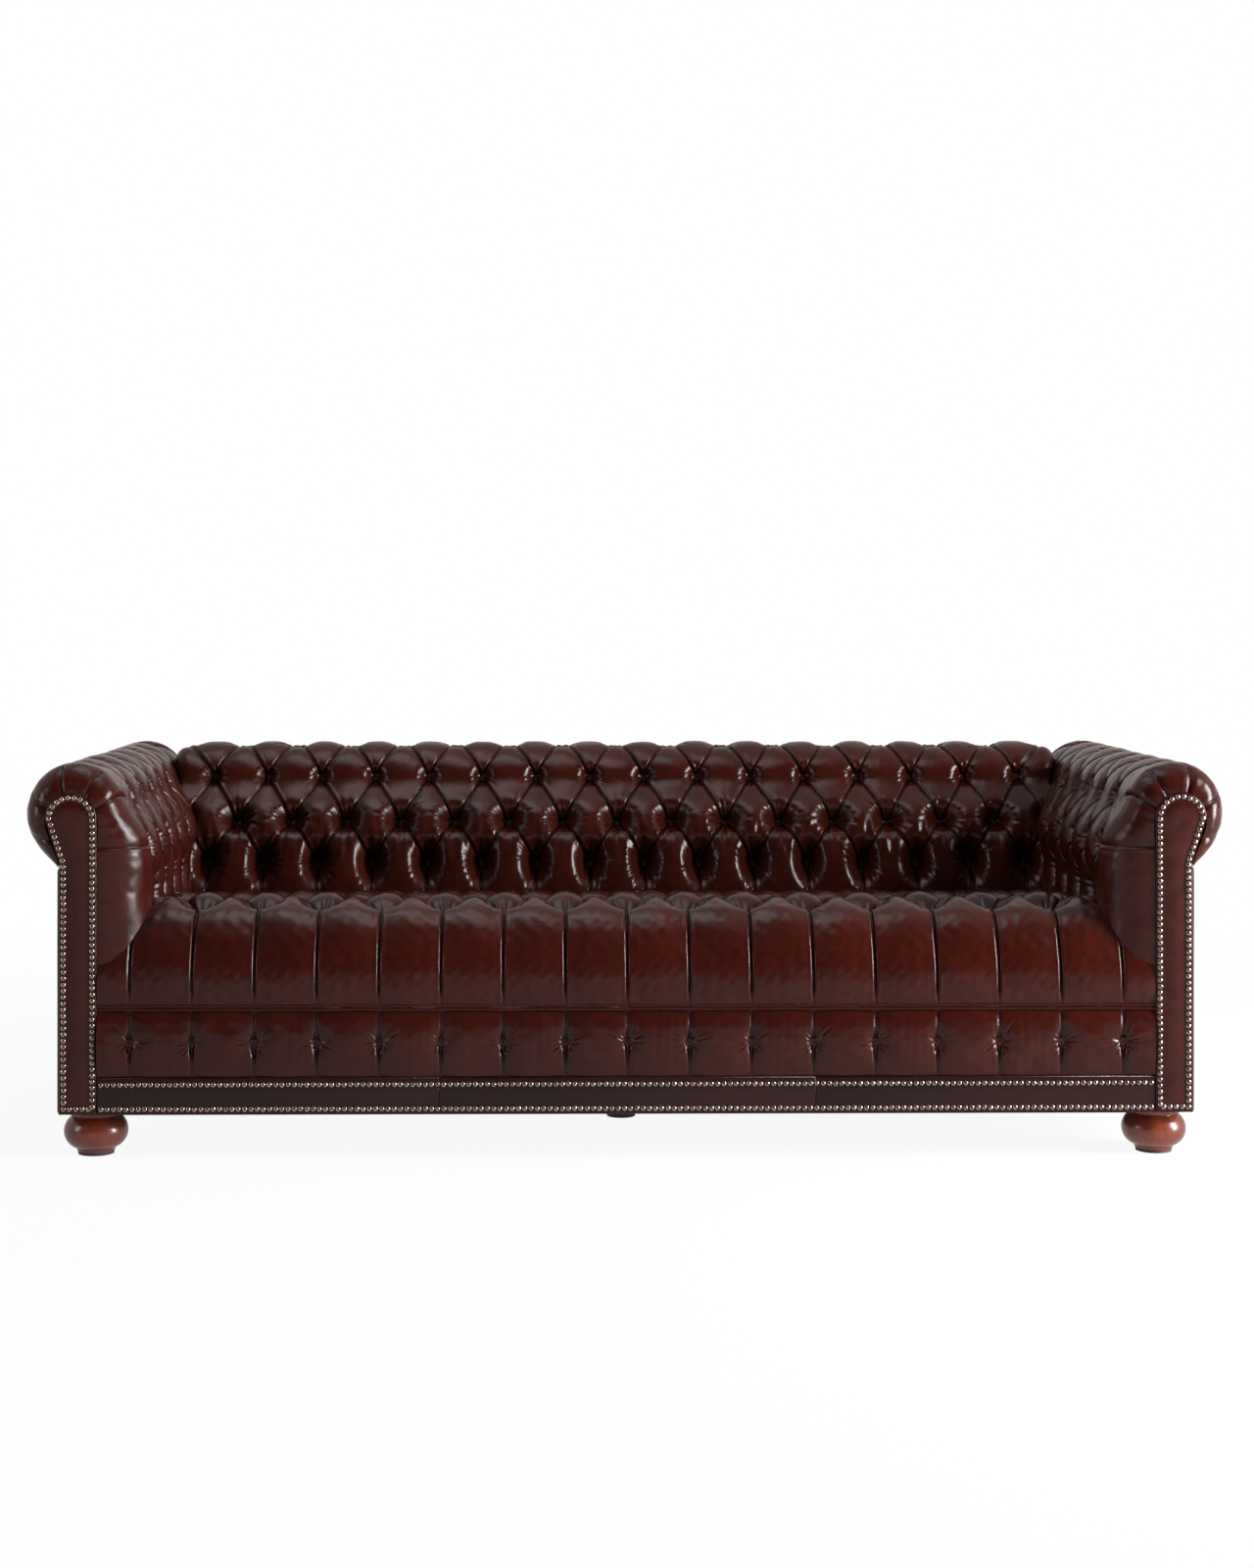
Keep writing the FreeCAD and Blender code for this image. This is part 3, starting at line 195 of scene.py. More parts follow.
class Tufts:
    """Diamond tufting on a lattice: i counts half pitches along, j counts rows.

    Each row has the depth of its buttons and a bowl (half width, reach before, reach beyond).
    Straight is the share of the crease depth that the channels past the rows keep, pace is how
    soon they get there, and a lower power makes the cushions between the creases flatter.
    """

    def __init__(self, section, parity, depths, bowls, crease, seed,
                 limits=None, straight=0.6, power=0.42, pace=3.0):
        self.section, self.parity = section, parity
        self.rows, self.depths, self.bowls = len(depths), depths, bowls
        self.crease, self.seed, self.limits = crease, seed, limits
        self.straight, self.power, self.pace = straight, power, pace

    def buttoned(self, i, j):
        if (i + j) % 2 != self.parity:
            return False
        return self.limits is None or i <= self.limits[j]

    def height(self, s, t):
        """Broad height below the crest, the fold lines on it, and the painted shade of the creases and
        button dips.
        """
        last = self.rows - 1
        row = np.clip(t, 0, last)
        beyond = np.abs(t - row)
        a = (s + row + self.parity) / 2
        b = (s - row - self.parity) / 2
        near_a = a - np.round(a)
        near_b = b - np.round(b)
        flat = 1 - np.exp(-beyond * self.pace)
        power = self.power * (1 - flat * 0.6)
        cell = np.abs(np.sin(math.pi * a) * np.sin(math.pi * b))
        level = self.crease * (1 - flat * (1 - self.straight))
        broad = -level * (1 - cell ** power)
        x = s * HALF_PITCH
        arc = self.section.arc(t)
        bowl = np.zeros_like(s)
        shade = np.zeros_like(s)
        for j in range(self.rows):
            odd = (j + self.parity) % 2
            i = 2 * np.round((s - odd) / 2) + odd
            dx = x - i * HALF_PITCH
            dy = arc - self.section.arc(float(j))
            wide, above, below = self.bowls[j]
            r2 = (dx / wide) ** 2 + (dy / np.where(dy > 0, below, above)) ** 2
            held = 1.0 if self.limits is None else (i <= self.limits[j])
            deep = (self.depths[j] - self.crease) * np.exp(-r2 ** BOWL_SHARPNESS)
            bowl = np.maximum(bowl, deep * held)
            # Painted shade round the dip of each button
            shade = np.maximum(shade, np.exp(-(dx ** 2 + dy ** 2) / DIP_SHADE_WIDTH ** 2) * held)
        broad = broad - bowl * (1 - 0.15 * cell ** 0.5)
        lines = np.zeros_like(s)
        painted_shade = 0.9 * shade
        # Each pleat adds its lip and groove, and painted shade along the groove
        for d in (-near_a * FOLD_SPACING, near_b * FOLD_SPACING):
            raised, tone = fold(d)
            lines = np.where(np.abs(d) < FOLD_REACH, lines + raised, lines)
            painted_shade = np.maximum(painted_shade, tone)
        lines = lines * (1 - 0.35 * flat)
        return broad, lines, painted_shade

    def wrinkles(self, s, t, first, last, strength=1.0):
        """Folds that run out from every button, as a height to add."""
        x = s * HALF_PITCH
        arc = self.section.arc(t)
        extra = np.zeros_like(s)
        rng = np.random.default_rng(self.seed)
        for j in range(self.rows):
            for i in range(first, last + 1):
                if (i + j) % 2 != self.parity:
                    continue
                count = rng.integers(FEWEST_WRINKLES, MOST_WRINKLES + 1)
                jitter = rng.uniform(-0.4, 0.4, count)
                turns = (np.arange(count) + jitter) * 2 * math.pi / count
                lengths = rng.uniform(0.55, 1.35, count)
                depths = WRINKLE_DEPTH * strength * rng.uniform(0.25, 1.3, count)
                if not self.buttoned(i, j):
                    continue
                wide, above, below = self.bowls[j]
                bx, by = i * HALF_PITCH, self.section.arc(float(j))
                rows = np.nonzero(np.abs(arc[:, 0] - by) < WRINKLE_ACROSS)[0]
                cols = np.nonzero(np.abs(x[0] - bx) < WRINKLE_ALONG)[0]
                if len(rows) == 0 or len(cols) == 0:
                    continue
                window = np.ix_(rows, cols)
                dx, dy = x[window] - bx, arc[window] - by
                for turn, length, deep in zip(turns, lengths, depths):
                    c, v = math.cos(turn), math.sin(turn)
                    rim = 1 / math.hypot(c / wide, v / (below if v > 0 else above))
                    extra[window] += deep * wrinkle(dx, dy, turn, rim * 1.25 * length, 0.007, 0.07)
        return extra

    def buttons(self, first, last):
        return [(i, j) for j in range(self.rows) for i in range(first, last + 1) if self.buttoned(i, j)]


# Meshes

MOST_TRIANGLES = 190000


def mesh_object(name, points, faces):
    mesh = bpy.data.meshes.new(name)
    faces = np.asarray(faces, np.int32)
    mesh.vertices.add(len(points))
    mesh.vertices.foreach_set("co", np.asarray(points, np.float32).ravel())
    corners = faces.shape[1]
    mesh.loops.add(faces.size)
    mesh.loops.foreach_set("vertex_index", faces.ravel())
    mesh.polygons.add(len(faces))
    mesh.polygons.foreach_set("loop_start", np.arange(len(faces), dtype=np.int32) * corners)
    mesh.polygons.foreach_set("loop_total", np.full(len(faces), corners, np.int32))
    mesh.update(calc_edges=True)
    mesh.validate()
    mesh.polygons.foreach_set("use_smooth", np.ones(len(mesh.polygons), bool))
    piece = bpy.data.objects.new(name, mesh)
    bpy.context.scene.collection.objects.link(piece)
    return piece


def paint(piece, name, values):
    layer = piece.data.attributes.new(name, "FLOAT", "POINT")
    layer.data.foreach_set("value", np.asarray(values, np.float32).ravel())


def grid_faces(rows, cols, slant=None):
    """Two triangles a cell, cut along the pleat where slant says so."""
    r, c = np.meshgrid(np.arange(rows - 1), np.arange(cols - 1), indexing="ij")
    a = r * cols + c
    b, d, e = a + 1, a + cols, a + cols + 1
    if slant is None:
        slant = np.ones((rows - 1, cols - 1), bool)
    down = slant[..., None]
    first = np.where(down, np.stack([a, b, e], -1), np.stack([a, b, d], -1))
    second = np.where(down, np.stack([a, e, d], -1), np.stack([b, e, d], -1))
    return np.concatenate([first.reshape(-1, 3), second.reshape(-1, 3)])


def sheet_pieces(name, grid, slant, painted_shade, painted_light, stands_for):
    """Leather sheet from a grid of points, in as many pieces as the triangle limit asks."""
    rows, cols = grid.shape[:2]
    shade = normals_of(grid)
    parts = math.ceil(2 * (rows - 1) * (cols - 1) / MOST_TRIANGLES)
    cuts = np.linspace(0, rows - 1, parts + 1).astype(int)
    made = []
    for k in range(parts):
        lo, hi = cuts[k], cuts[k + 1] + 1
        label = name if parts == 1 else f"{name}_{k + 1}"
        part = grid[lo:hi]
        cut = None if slant is None else slant[lo:hi - 1]
        piece = mesh_object(label, part.reshape(-1, 3), grid_faces(hi - lo, cols, cut))
        # Painted shade and painted light, for the leather material to darken and lighten its colour
        paint(piece, "crease", painted_shade[lo:hi])
        paint(piece, "painted_light", painted_light[lo:hi])
        piece.data.normals_split_custom_set_from_vertices(shade[lo:hi].reshape(-1, 3).tolist())
        dress(piece, hide)
        made.append(piece)
    for node in stands_for:
        for piece in made:
            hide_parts(node)


def dress(piece, material):
    piece.data.materials.clear()
    piece.data.materials.append(material)
    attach(piece, "root")


def ring_faces(rings, segments):
    """Two triangles a cell between closed rings of points."""
    faces = []
    for r in range(rings - 1):
        for c in range(segments):
            a, b = r * segments + c, r * segments + (c + 1) % segments
            faces += [(a, b, b + segments), (a, b + segments, a + segments)]
    return faces


def lathe(profile, centre, axis, segments):
    """Points and faces of a turned form. Profile steps are (radius, height along the axis)."""
    axis = Vector(axis).normalized()
    side = axis.orthogonal().normalized()
    other = axis.cross(side)
    turn = np.arange(segments) * 2 * math.pi / segments
    points = []
    for radius, height in profile:
        for angle in turn:
            out = side * (radius * math.cos(angle)) + other * (radius * math.sin(angle))
            points.append(Vector(centre) + out + axis * height)
    return points, ring_faces(len(profile), segments)


class Batch:
    """Many small forms joined into one piece."""

    def __init__(self):
        self.points = []
        self.faces = []

    def add(self, points, faces):
        base = len(self.points)
        self.points += [tuple(p) for p in points]
        self.faces += [tuple(v + base for v in face) for face in faces]

    def make(self, name, material, slot, *nodes):
        piece = mesh_object(name, self.points, self.faces)
        dress(piece, material)
        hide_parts(*nodes)


# Materials

def nodes_of(name):
    material = bpy.data.materials.new(name)
    material.use_nodes = True
    tree = material.node_tree
    return material, tree, tree.nodes["Principled BSDF"]


def set_inputs(node, values):
    for key, value in values.items():
        node.inputs[key].default_value = value


def add_node(tree, kind, inputs=None, **options):
    node = tree.nodes.new(kind)
    for key, value in options.items():
        setattr(node, key, value)
    set_inputs(node, inputs or {})
    return node


def object_place(tree):
    return add_node(tree, "ShaderNodeTexCoord").outputs["Object"]


def noise(tree, scale, detail=4.0, rough=0.55, stretch=None):
    place = object_place(tree)
    texture = add_node(tree, "ShaderNodeTexNoise",
                       {"Scale": scale, "Detail": detail, "Roughness": rough})
    if stretch:
        mapping = add_node(tree, "ShaderNodeMapping", {"Scale": stretch})
        tree.links.new(place, mapping.inputs["Vector"])
        place = mapping.outputs["Vector"]
    tree.links.new(place, texture.inputs["Vector"])
    return texture.outputs["Fac"]


def ramp(tree, source, low, high, start=0.0, end=1.0):
    node = add_node(tree, "ShaderNodeMapRange",
                    {"From Min": low, "From Max": high, "To Min": start, "To Max": end})
    tree.links.new(source, node.inputs["Value"])
    return node.outputs["Result"]


def mix(tree, factor, a, b):
    node = add_node(tree, "ShaderNodeMix", data_type="RGBA")
    if isinstance(factor, float):
        node.inputs["Factor"].default_value = factor
    else:
        tree.links.new(factor, node.inputs["Factor"])
    for socket, value in ((node.inputs["A"], a), (node.inputs["B"], b)):
        if isinstance(value, tuple):
            socket.default_value = (*value, 1.0)
        else:
            tree.links.new(value, socket)
    return node.outputs["Result"]


def arithmetic(tree, operation, a, b):
    node = add_node(tree, "ShaderNodeMath", operation=operation)
    for socket, value in zip(node.inputs, (a, b)):
        if isinstance(value, float):
            socket.default_value = value
        else:
            tree.links.new(value, socket)
    return node.outputs["Value"]


def attribute(tree, name):
    node = add_node(tree, "ShaderNodeAttribute", attribute_name=name)
    return node.outputs["Fac"]


def bump(tree, shader, height, distance, strength=1.0, under=None):
    node = add_node(tree, "ShaderNodeBump", {"Distance": distance, "Strength": strength})
    tree.links.new(height, node.inputs["Height"])
    if under:
        tree.links.new(under, node.inputs["Normal"])
    tree.links.new(node.outputs["Normal"], shader.inputs["Normal"])
    return node.outputs["Normal"]


def leather(name, main, warm, deep, roughness):
    material, tree, shader = nodes_of(name)
    patches = ramp(tree, noise(tree, 4.0, 4.0, 0.5), 0.35, 0.75, 0.0, 0.8)
    colour = mix(tree, patches, main, warm)
    mottle = ramp(tree, noise(tree, 70.0, 4.0, 0.6), 0.35, 0.75, 0.0, 0.3)
    colour = mix(tree, mottle, colour, deep)
    # Painted light: a lighter, warmer tone on the crests and in the middle of the arm facings, patchy by
    # noise, an even share on the panels
    painted_light_share = arithmetic(tree, "MULTIPLY", attribute(tree, "painted_light"),
                        ramp(tree, noise(tree, 24.0, 6.0, 0.7), 0.45, 0.8, 0.0, 0.5))
    colour = mix(tree, painted_light_share, colour, tuple(v * 1.4 for v in warm))
    # Painted shade: darker in the creases, pleat grooves, button dips and along the facing edges
    crease = ramp(tree, attribute(tree, "crease"), 0.1, 1.0, 0.0, 0.85)
    colour = mix(tree, crease, colour, tuple(v * 0.25 for v in deep))
    tree.links.new(colour, shader.inputs["Base Color"])
    gloss = ramp(tree, noise(tree, 14.0, 5.0, 0.65), 0.3, 0.75, roughness * 0.8, roughness * 1.5)
    tree.links.new(gloss, shader.inputs["Roughness"])
    set_inputs(shader, {"IOR": 1.31})
    wrinkle = bump(tree, shader, noise(tree, 90.0, 6.0, 0.65), 0.0009, 0.22)
    cells = add_node(tree, "ShaderNodeTexVoronoi", {"Scale": 700.0}, feature="DISTANCE_TO_EDGE")
    tree.links.new(object_place(tree), cells.inputs["Vector"])
    bump(tree, shader, ramp(tree, cells.outputs["Distance"], 0.0, 0.25), 0.00012, 0.35, wrinkle)
    return material


def wood(name, light, dark_tone, roughness, coat):
    material, tree, shader = nodes_of(name)
    grain = noise(tree, 18.0, 6.0, 0.6, (1.0, 1.0, 0.12))
    colour = mix(tree, ramp(tree, grain, 0.35, 0.68), light, dark_tone)
    fine = noise(tree, 180.0, 3.0, 0.6, (1.0, 1.0, 0.06))
    colour = mix(tree, ramp(tree, fine, 0.5, 0.8, 0.0, 0.5), colour, tuple(v * 0.5 for v in dark_tone))
    tree.links.new(colour, shader.inputs["Base Color"])
    set_inputs(shader, {"Roughness": roughness, "Coat Weight": coat, "Coat Roughness": 0.08})
    bump(tree, shader, fine, 0.0003, 0.3)
    return material


def metal(name, colour, tarnish, roughness):
    material, tree, shader = nodes_of(name)
    spots = ramp(tree, noise(tree, 160.0, 5.0, 0.7), 0.4, 0.7)
    tree.links.new(mix(tree, spots, colour, tarnish), shader.inputs["Base Color"])
    set_inputs(shader, {"Metallic": 1.0})
    gloss = ramp(tree, noise(tree, 400.0, 3.0, 0.6), 0.3, 0.7, roughness * 0.7, roughness * 1.4)
    tree.links.new(gloss, shader.inputs["Roughness"])
    bump(tree, shader, noise(tree, 500.0, 3.0, 0.6), 0.0002, 0.3)
    return material


def cloth(name, light, dark_tone, scale):
    material, tree, shader = nodes_of(name)
    threads = []
    for axis in ("X", "Y"):
        wave = add_node(tree, "ShaderNodeTexWave", {"Scale": scale, "Distortion": 0.6},
                        bands_direction=axis)
        tree.links.new(object_place(tree), wave.inputs["Vector"])
        threads.append(wave.outputs["Fac"])
    weave = arithmetic(tree, "MULTIPLY", threads[0], threads[1])
    tree.links.new(mix(tree, weave, dark_tone, light), shader.inputs["Base Color"])
    set_inputs(shader, {"Roughness": 0.9})
    bump(tree, shader, weave, 0.0004, 0.6)
    return material


def plastic(name, colour, roughness):
    material, tree, shader = nodes_of(name)
    speck = ramp(tree, noise(tree, 220.0, 4.0, 0.6), 0.4, 0.8, 0.0, 0.3)
    tree.links.new(mix(tree, speck, colour, tuple(v * 0.6 for v in colour)), shader.inputs["Base Color"])
    set_inputs(shader, {"Roughness": roughness})
    bump(tree, shader, noise(tree, 600.0, 2.0, 0.5), 0.0002, 0.3)
    return material


OXBLOOD = (0.031, 0.0048, 0.0030)
RUST = (0.048, 0.0078, 0.0036)
DEEP = (0.014, 0.0026, 0.0022)
hide = leather("hide", OXBLOOD, RUST, DEEP, 0.17)
band_hide = leather("band_hide", (0.018, 0.005, 0.0045), (0.024, 0.007, 0.005),
                    (0.012, 0.004, 0.0035), 0.2)
button_hide = leather("button_hide", OXBLOOD, RUST, DEEP, 0.24)
nail_metal = metal("nail_metal", (0.40, 0.29, 0.25), (0.17, 0.10, 0.085), 0.2)
frame_wood = wood("frame_wood", (0.52, 0.36, 0.20), (0.36, 0.22, 0.11), 0.6, 0.0)
foot_wood = wood("foot_wood", (0.200, 0.036, 0.012), (0.085, 0.015, 0.006), 0.3, 0.12)
stuffing = cloth("stuffing", (0.70, 0.66, 0.55), (0.55, 0.50, 0.40), 900.0)
webbing = cloth("webbing", (0.45, 0.34, 0.20), (0.22, 0.15, 0.08), 600.0)
spring_steel = metal("spring_steel", (0.30, 0.30, 0.31), (0.12, 0.11, 0.10), 0.35)
zinc = metal("zinc_steel", (0.60, 0.60, 0.58), (0.40, 0.38, 0.34), 0.3)
glide_plastic = plastic("glide_plastic", (0.02, 0.02, 0.02), 0.45)
dust_cloth = cloth("dust_cloth", (0.022, 0.022, 0.022), (0.008, 0.008, 0.008), 500.0)

FINISH = {
    "leather": hide, "button_leather": button_hide, "nail_brass": nail_metal,
    "frame_wood": frame_wood, "foot_wood": foot_wood, "stuffing": stuffing, "webbing": webbing,
    "spring_steel": spring_steel, "zinc_steel": zinc, "glide_plastic": glide_plastic,
    "dust_cloth": dust_cloth,
}


def finish_cad_nodes():
    for entry in frame["record"]["materials"]:
        for node in entry.get("nodes", []):
            piece = frame["nodes"][node]
            piece.data.materials.clear()
            piece.data.materials.append(FINISH[entry["slot"]])


# Covered buttons

BUTTON_PROFILE = [(0.0108, -0.006), (0.0110, -0.001), (0.0105, 0.0012), (0.0092, 0.0026),
                  (0.0066, 0.0038), (0.0036, 0.0045), (0.0, 0.0047)]
BORDER_PROFILE = [(0.0084, -0.004), (0.0086, 0.0006), (0.0080, 0.0020), (0.0070, 0.0023),
                  (0.0062, 0.0016), (0.0050, 0.0018), (0.0026, 0.0022), (0.0, 0.0023)]
BUTTON_LEAN = 0.09
BUTTON_SINK = 0.002
BUTTON_SEGMENTS = 20


def place_buttons(name, spots, profile, seed, node):
    """One piece of covered buttons, each leaning a little."""
    rng = np.random.default_rng(seed)
    batch = Batch()
    for place, normal in spots:
        lean = Vector(rng.uniform(-BUTTON_LEAN, BUTTON_LEAN, 3))
        batch.add(*lathe(profile, place, Vector(normal) + lean, BUTTON_SEGMENTS))
    batch.make(name, button_hide, "button_leather", node)


def dip_spots(grid, shade, s, t, tufts, first, last):
    """Place and normal at the bottom of each dip, from the smooth crest surface."""
    spots = []
    for i, j in tufts.buttons(first, last):
        r = int(np.argmin(np.abs(t[:, 0] - j)))
        c = int(np.argmin(np.abs(s[0] - i)))
        normal = shade[r, c]
        spots.append((grid[r, c] - normal * (tufts.depths[j] + BUTTON_SINK), normal))
    return spots


def slant_of(s, t, tufts):
    """True in cells whose pleat runs down to the right."""
    last = tufts.rows - 1
    mid_s = np.floor((s[:-1, :-1] + s[1:, 1:]) / 2)
    mid_t = np.floor(np.clip((t[:-1, :-1] + t[1:, 1:]) / 2, 0, last - 0.01))
    rising = (mid_s + mid_t) % 2 == tufts.parity
    return rising if t[1, 0] > t[0, 0] else ~rising


def tufted(name, crest, s, t, tufts, first, last, nodes, strength,
           fade=1.0, shrink=0.0, seams=(), unevenness=1.0):
    """Leather pieces over a crest surface, and the places of the buttons in its dips."""
    shade = normals_of(crest)
    held = np.maximum(s, 0) if first == 0 else s
    broad, lines, painted_shade = tufts.height(held, t)
    x, arc = s * HALF_PITCH, tufts.section.arc(t)
    uneven = 0.0008 * waves(x, arc, 0.10, tufts.seed + 1)
    uneven += unevenness * 0.00025 * waves(x, arc, 0.024, tufts.seed + 2)
    extra = tufts.wrinkles(s, t, first, last, strength)
    broad, lines, painted_shade = broad * fade, lines * fade, painted_shade * fade
    # Each seam brings its height and the painted shade of its groove
    for line, tone in seams:
        lines = lines + line
        painted_shade = np.maximum(painted_shade, tone)
    total = broad + lines + extra + uneven - shrink
    grid = crest + shade * total[..., None]
    # Painted light: lighter on the crests, fading out 4 mm down into the hollows
    painted_light = share(1 + broad / 0.004)
    sheet_pieces(name, grid, slant_of(s, t, tufts), painted_shade, painted_light, nodes)
    return dip_spots(crest, shade, s, t, tufts, first, last)


# The roll and the inside of the arms and the back

ARM_SEED, BACK_SEED, SEAT_SEED = 31, 77, 53
ROLL_OUTSIDE = 0.094
TUCK_ANGLE, OUTSIDE_ANGLE, INSIDE_ANGLE = 236.0, 163.0, 17.0
FACE_TUCK_ANGLE = 190.0
FACE_GAP = 0.0005
FACE_DEPTH = 0.004
ARM_LOW = -0.365
KNEE_V, SIDE_V = -0.066, -0.165


def on_circle(angle, radius):
    turn = math.radians(angle)
    return radius * math.cos(turn), radius * math.sin(turn)


def roll_stops():
    """Section of the rolls from the tuck outside, over the top, to the inside."""
    return [(-1.0, -POST_OUTER - 0.008, -ROLL_LEAF, TUCK_ANGLE),
            (0.0, *on_circle(OUTSIDE_ANGLE, ROLL_OUTSIDE), OUTSIDE_ANGLE),
            (1.0, *on_circle(90.0, ROLL_RADIUS), 90.0),
            (2.0, *on_circle(INSIDE_ANGLE, ROLL_RADIUS), INSIDE_ANGLE)]


def face_stops():
    """Where the padding comes out from behind the arm facing."""
    made = [(-1.0, -POST_OUTER - FACE_GAP, -ROLL_LEAF, FACE_TUCK_ANGLE)]
    for row, angle in ((0.0, OUTSIDE_ANGLE), (1.0, 90.0), (2.0, INSIDE_ANGLE)):
        u, v = on_circle(angle, HEAD_RADIUS + FACE_GAP)
        made.append((row, u - HEAD_U, v - HEAD_DROP, angle))
    edge = POST_INNER + FACE_GAP
    made += [(3.0, edge, KNEE_V, 0.0), (4.0, edge, SIDE_V, 0.0), (5.5, edge, ARM_LOW, 0.0)]
    return made


ARM_FIRST = 0.120
ARM_CAP = ARM_FIRST - FACE_DEPTH
CAP_STEPS = 56
CELL = 32
# How far behind the facing each row still has buttons
ARM_LAST_BUTTONS = (9.0, 9.0, 0.700, 0.640, 0.600)
ARM_DEPTHS = (0.023, 0.026, 0.027, 0.032, 0.034)
ARM_BOWLS = ((0.020, 0.020, 0.020), (0.020, 0.020, 0.020), (0.021, 0.022, 0.024),
             (0.025, 0.026, 0.028), (0.024, 0.028, 0.042))
ARM_STOPS = ((3.0, 0.143, KNEE_V, 14.0), (4.0, 0.141, SIDE_V, 2.0), (5.5, 0.141, ARM_LOW, 0.0))
ARM_CREASE = 0.010
# How far back the rounding of the front reaches, outside, over the top and inside
CAP_ROUNDING = (0.050, 0.054, 0.090, 0.090)
CAP_FADE = 0.045
REAR_FADE = 0.03
# Angle round the roll and length of each pleat of the front
CAP_PLEATS = ((200.0, 0.045), (157.0, 0.050), (106.0, 0.052), (58.0, 0.055), (21.0, 0.085))
ROW_TURN = OUTSIDE_ANGLE - 90.0


def cap_seams(t, depth, section):
    """Short pleats that gather the leather round the front of the roll, with painted shade in their
    grooves.
    """
    made = []
    for angle, reach in CAP_PLEATS:
        line = (OUTSIDE_ANGLE - angle) / ROW_TURN
        bend = 0.05 * share(depth / reach) ** 2
        d = section.arc(t) - section.arc(line + bend)
        fade = share((reach - depth) / 0.016) ** 0.7
        raised, tone = fold(d, CAP_DARK_WIDTH)
        valley = -0.0030 * bell(d, 0.010)
        made.append(((raised + valley) * fade, tone * fade * 0.9))
    d = section.arc(t) - section.arc(3.0)
    fade = share((ARM_FIRST - depth) / 0.02)
    raised, tone = fold(d, CAP_DARK_WIDTH)
    made.append(((raised - 0.0015 * bell(d, 0.012)) * fade, tone * fade * 0.9))
    return made


def place_arm_leather(side, name):
    section = Section(roll_stops() + list(ARM_STOPS))
    face = Section(face_stops())
    last = (FRAME_REAR - ARM_FIRST) / HALF_PITCH
    cap = np.linspace(0, 1, CAP_STEPS, endpoint=False)
    whole = int(last)
    along = np.append(lattice(0, whole, CELL), np.linspace(whole, last, 12)[1:])
    depths = np.concatenate([FACE_DEPTH + ARM_CAP * (1 - np.cos(cap * math.pi / 2)),
                             ARM_FIRST + HALF_PITCH * along])
    rows = np.concatenate([lattice(-1, 4, CELL), np.linspace(4, 5.5, 40)[1:]])
    depth, t = np.meshgrid(depths, rows)
    s = (depth - ARM_FIRST) / HALF_PITCH
    reach = np.interp(t, [-1, 2, 3, 6], CAP_ROUNDING)
    rise = np.sqrt(1 - (1 - share((depth - FACE_DEPTH) / reach)) ** 2)
    flat, full = face.at(t), section.at(t)
    shape = flat + (full - flat) * rise[..., None]
    crest = np.stack([side * (ARM_ROLL_X - shape[..., 0]), FRONT + depth, ROLL_Z + shape[..., 1]], -1)
    if side < 0:
        crest, s, t, depth = crest[::-1], s[::-1], t[::-1], depth[::-1]
    limits = {j: (lim - ARM_FIRST) / HALF_PITCH for j, lim in enumerate(ARM_LAST_BUTTONS)}
    tufts = Tufts(section, 1, ARM_DEPTHS, ARM_BOWLS, ARM_CREASE, ARM_SEED + side, limits)
    fade = np.where(s < 0, share(1 + s * HALF_PITCH / CAP_FADE), 1.0)
    fade = fade * share((FRAME_REAR - depth) / REAR_FADE)
    spots = tufted("arm_leather_" + name, crest, s, t, tufts, 0, whole,
                   ["arm_cover_" + name, "arm_foam_" + name], strength=1.3, fade=fade,
                   seams=cap_seams(t, depth, section))
    place_buttons("arm_button_set_" + name, spots, BUTTON_PROFILE, 5, "arm_buttons_" + name)


BACK_DEPTHS = (0.024, 0.030, 0.025, 0.044, 0.048)
BACK_BOWLS = ((0.020, 0.020, 0.020), (0.026, 0.022, 0.022), (0.018, 0.018, 0.019),
              (0.031, 0.030, 0.034), (0.027, 0.038, 0.048))
BACK_FOLD_ROWS = (2.9, 3.3, 3.75, 4.1)
BACK_FOLD_DEPTH, BACK_FOLD_WIDTH = 0.0011, 0.016
BACK_STOPS = ((3.0, 0.165, -0.056, 28.0), (4.0, 0.203, -0.151, 17.0), (5.0, 0.220, -0.225, 6.0))
BACK_CREASE = 0.0085
BACK_OVERLAP = 0.022
BACK_KEPT = 0.90
BACK_END_ROUND = 0.030
LAST_COLUMN, LAST_BUTTON = 16, 15


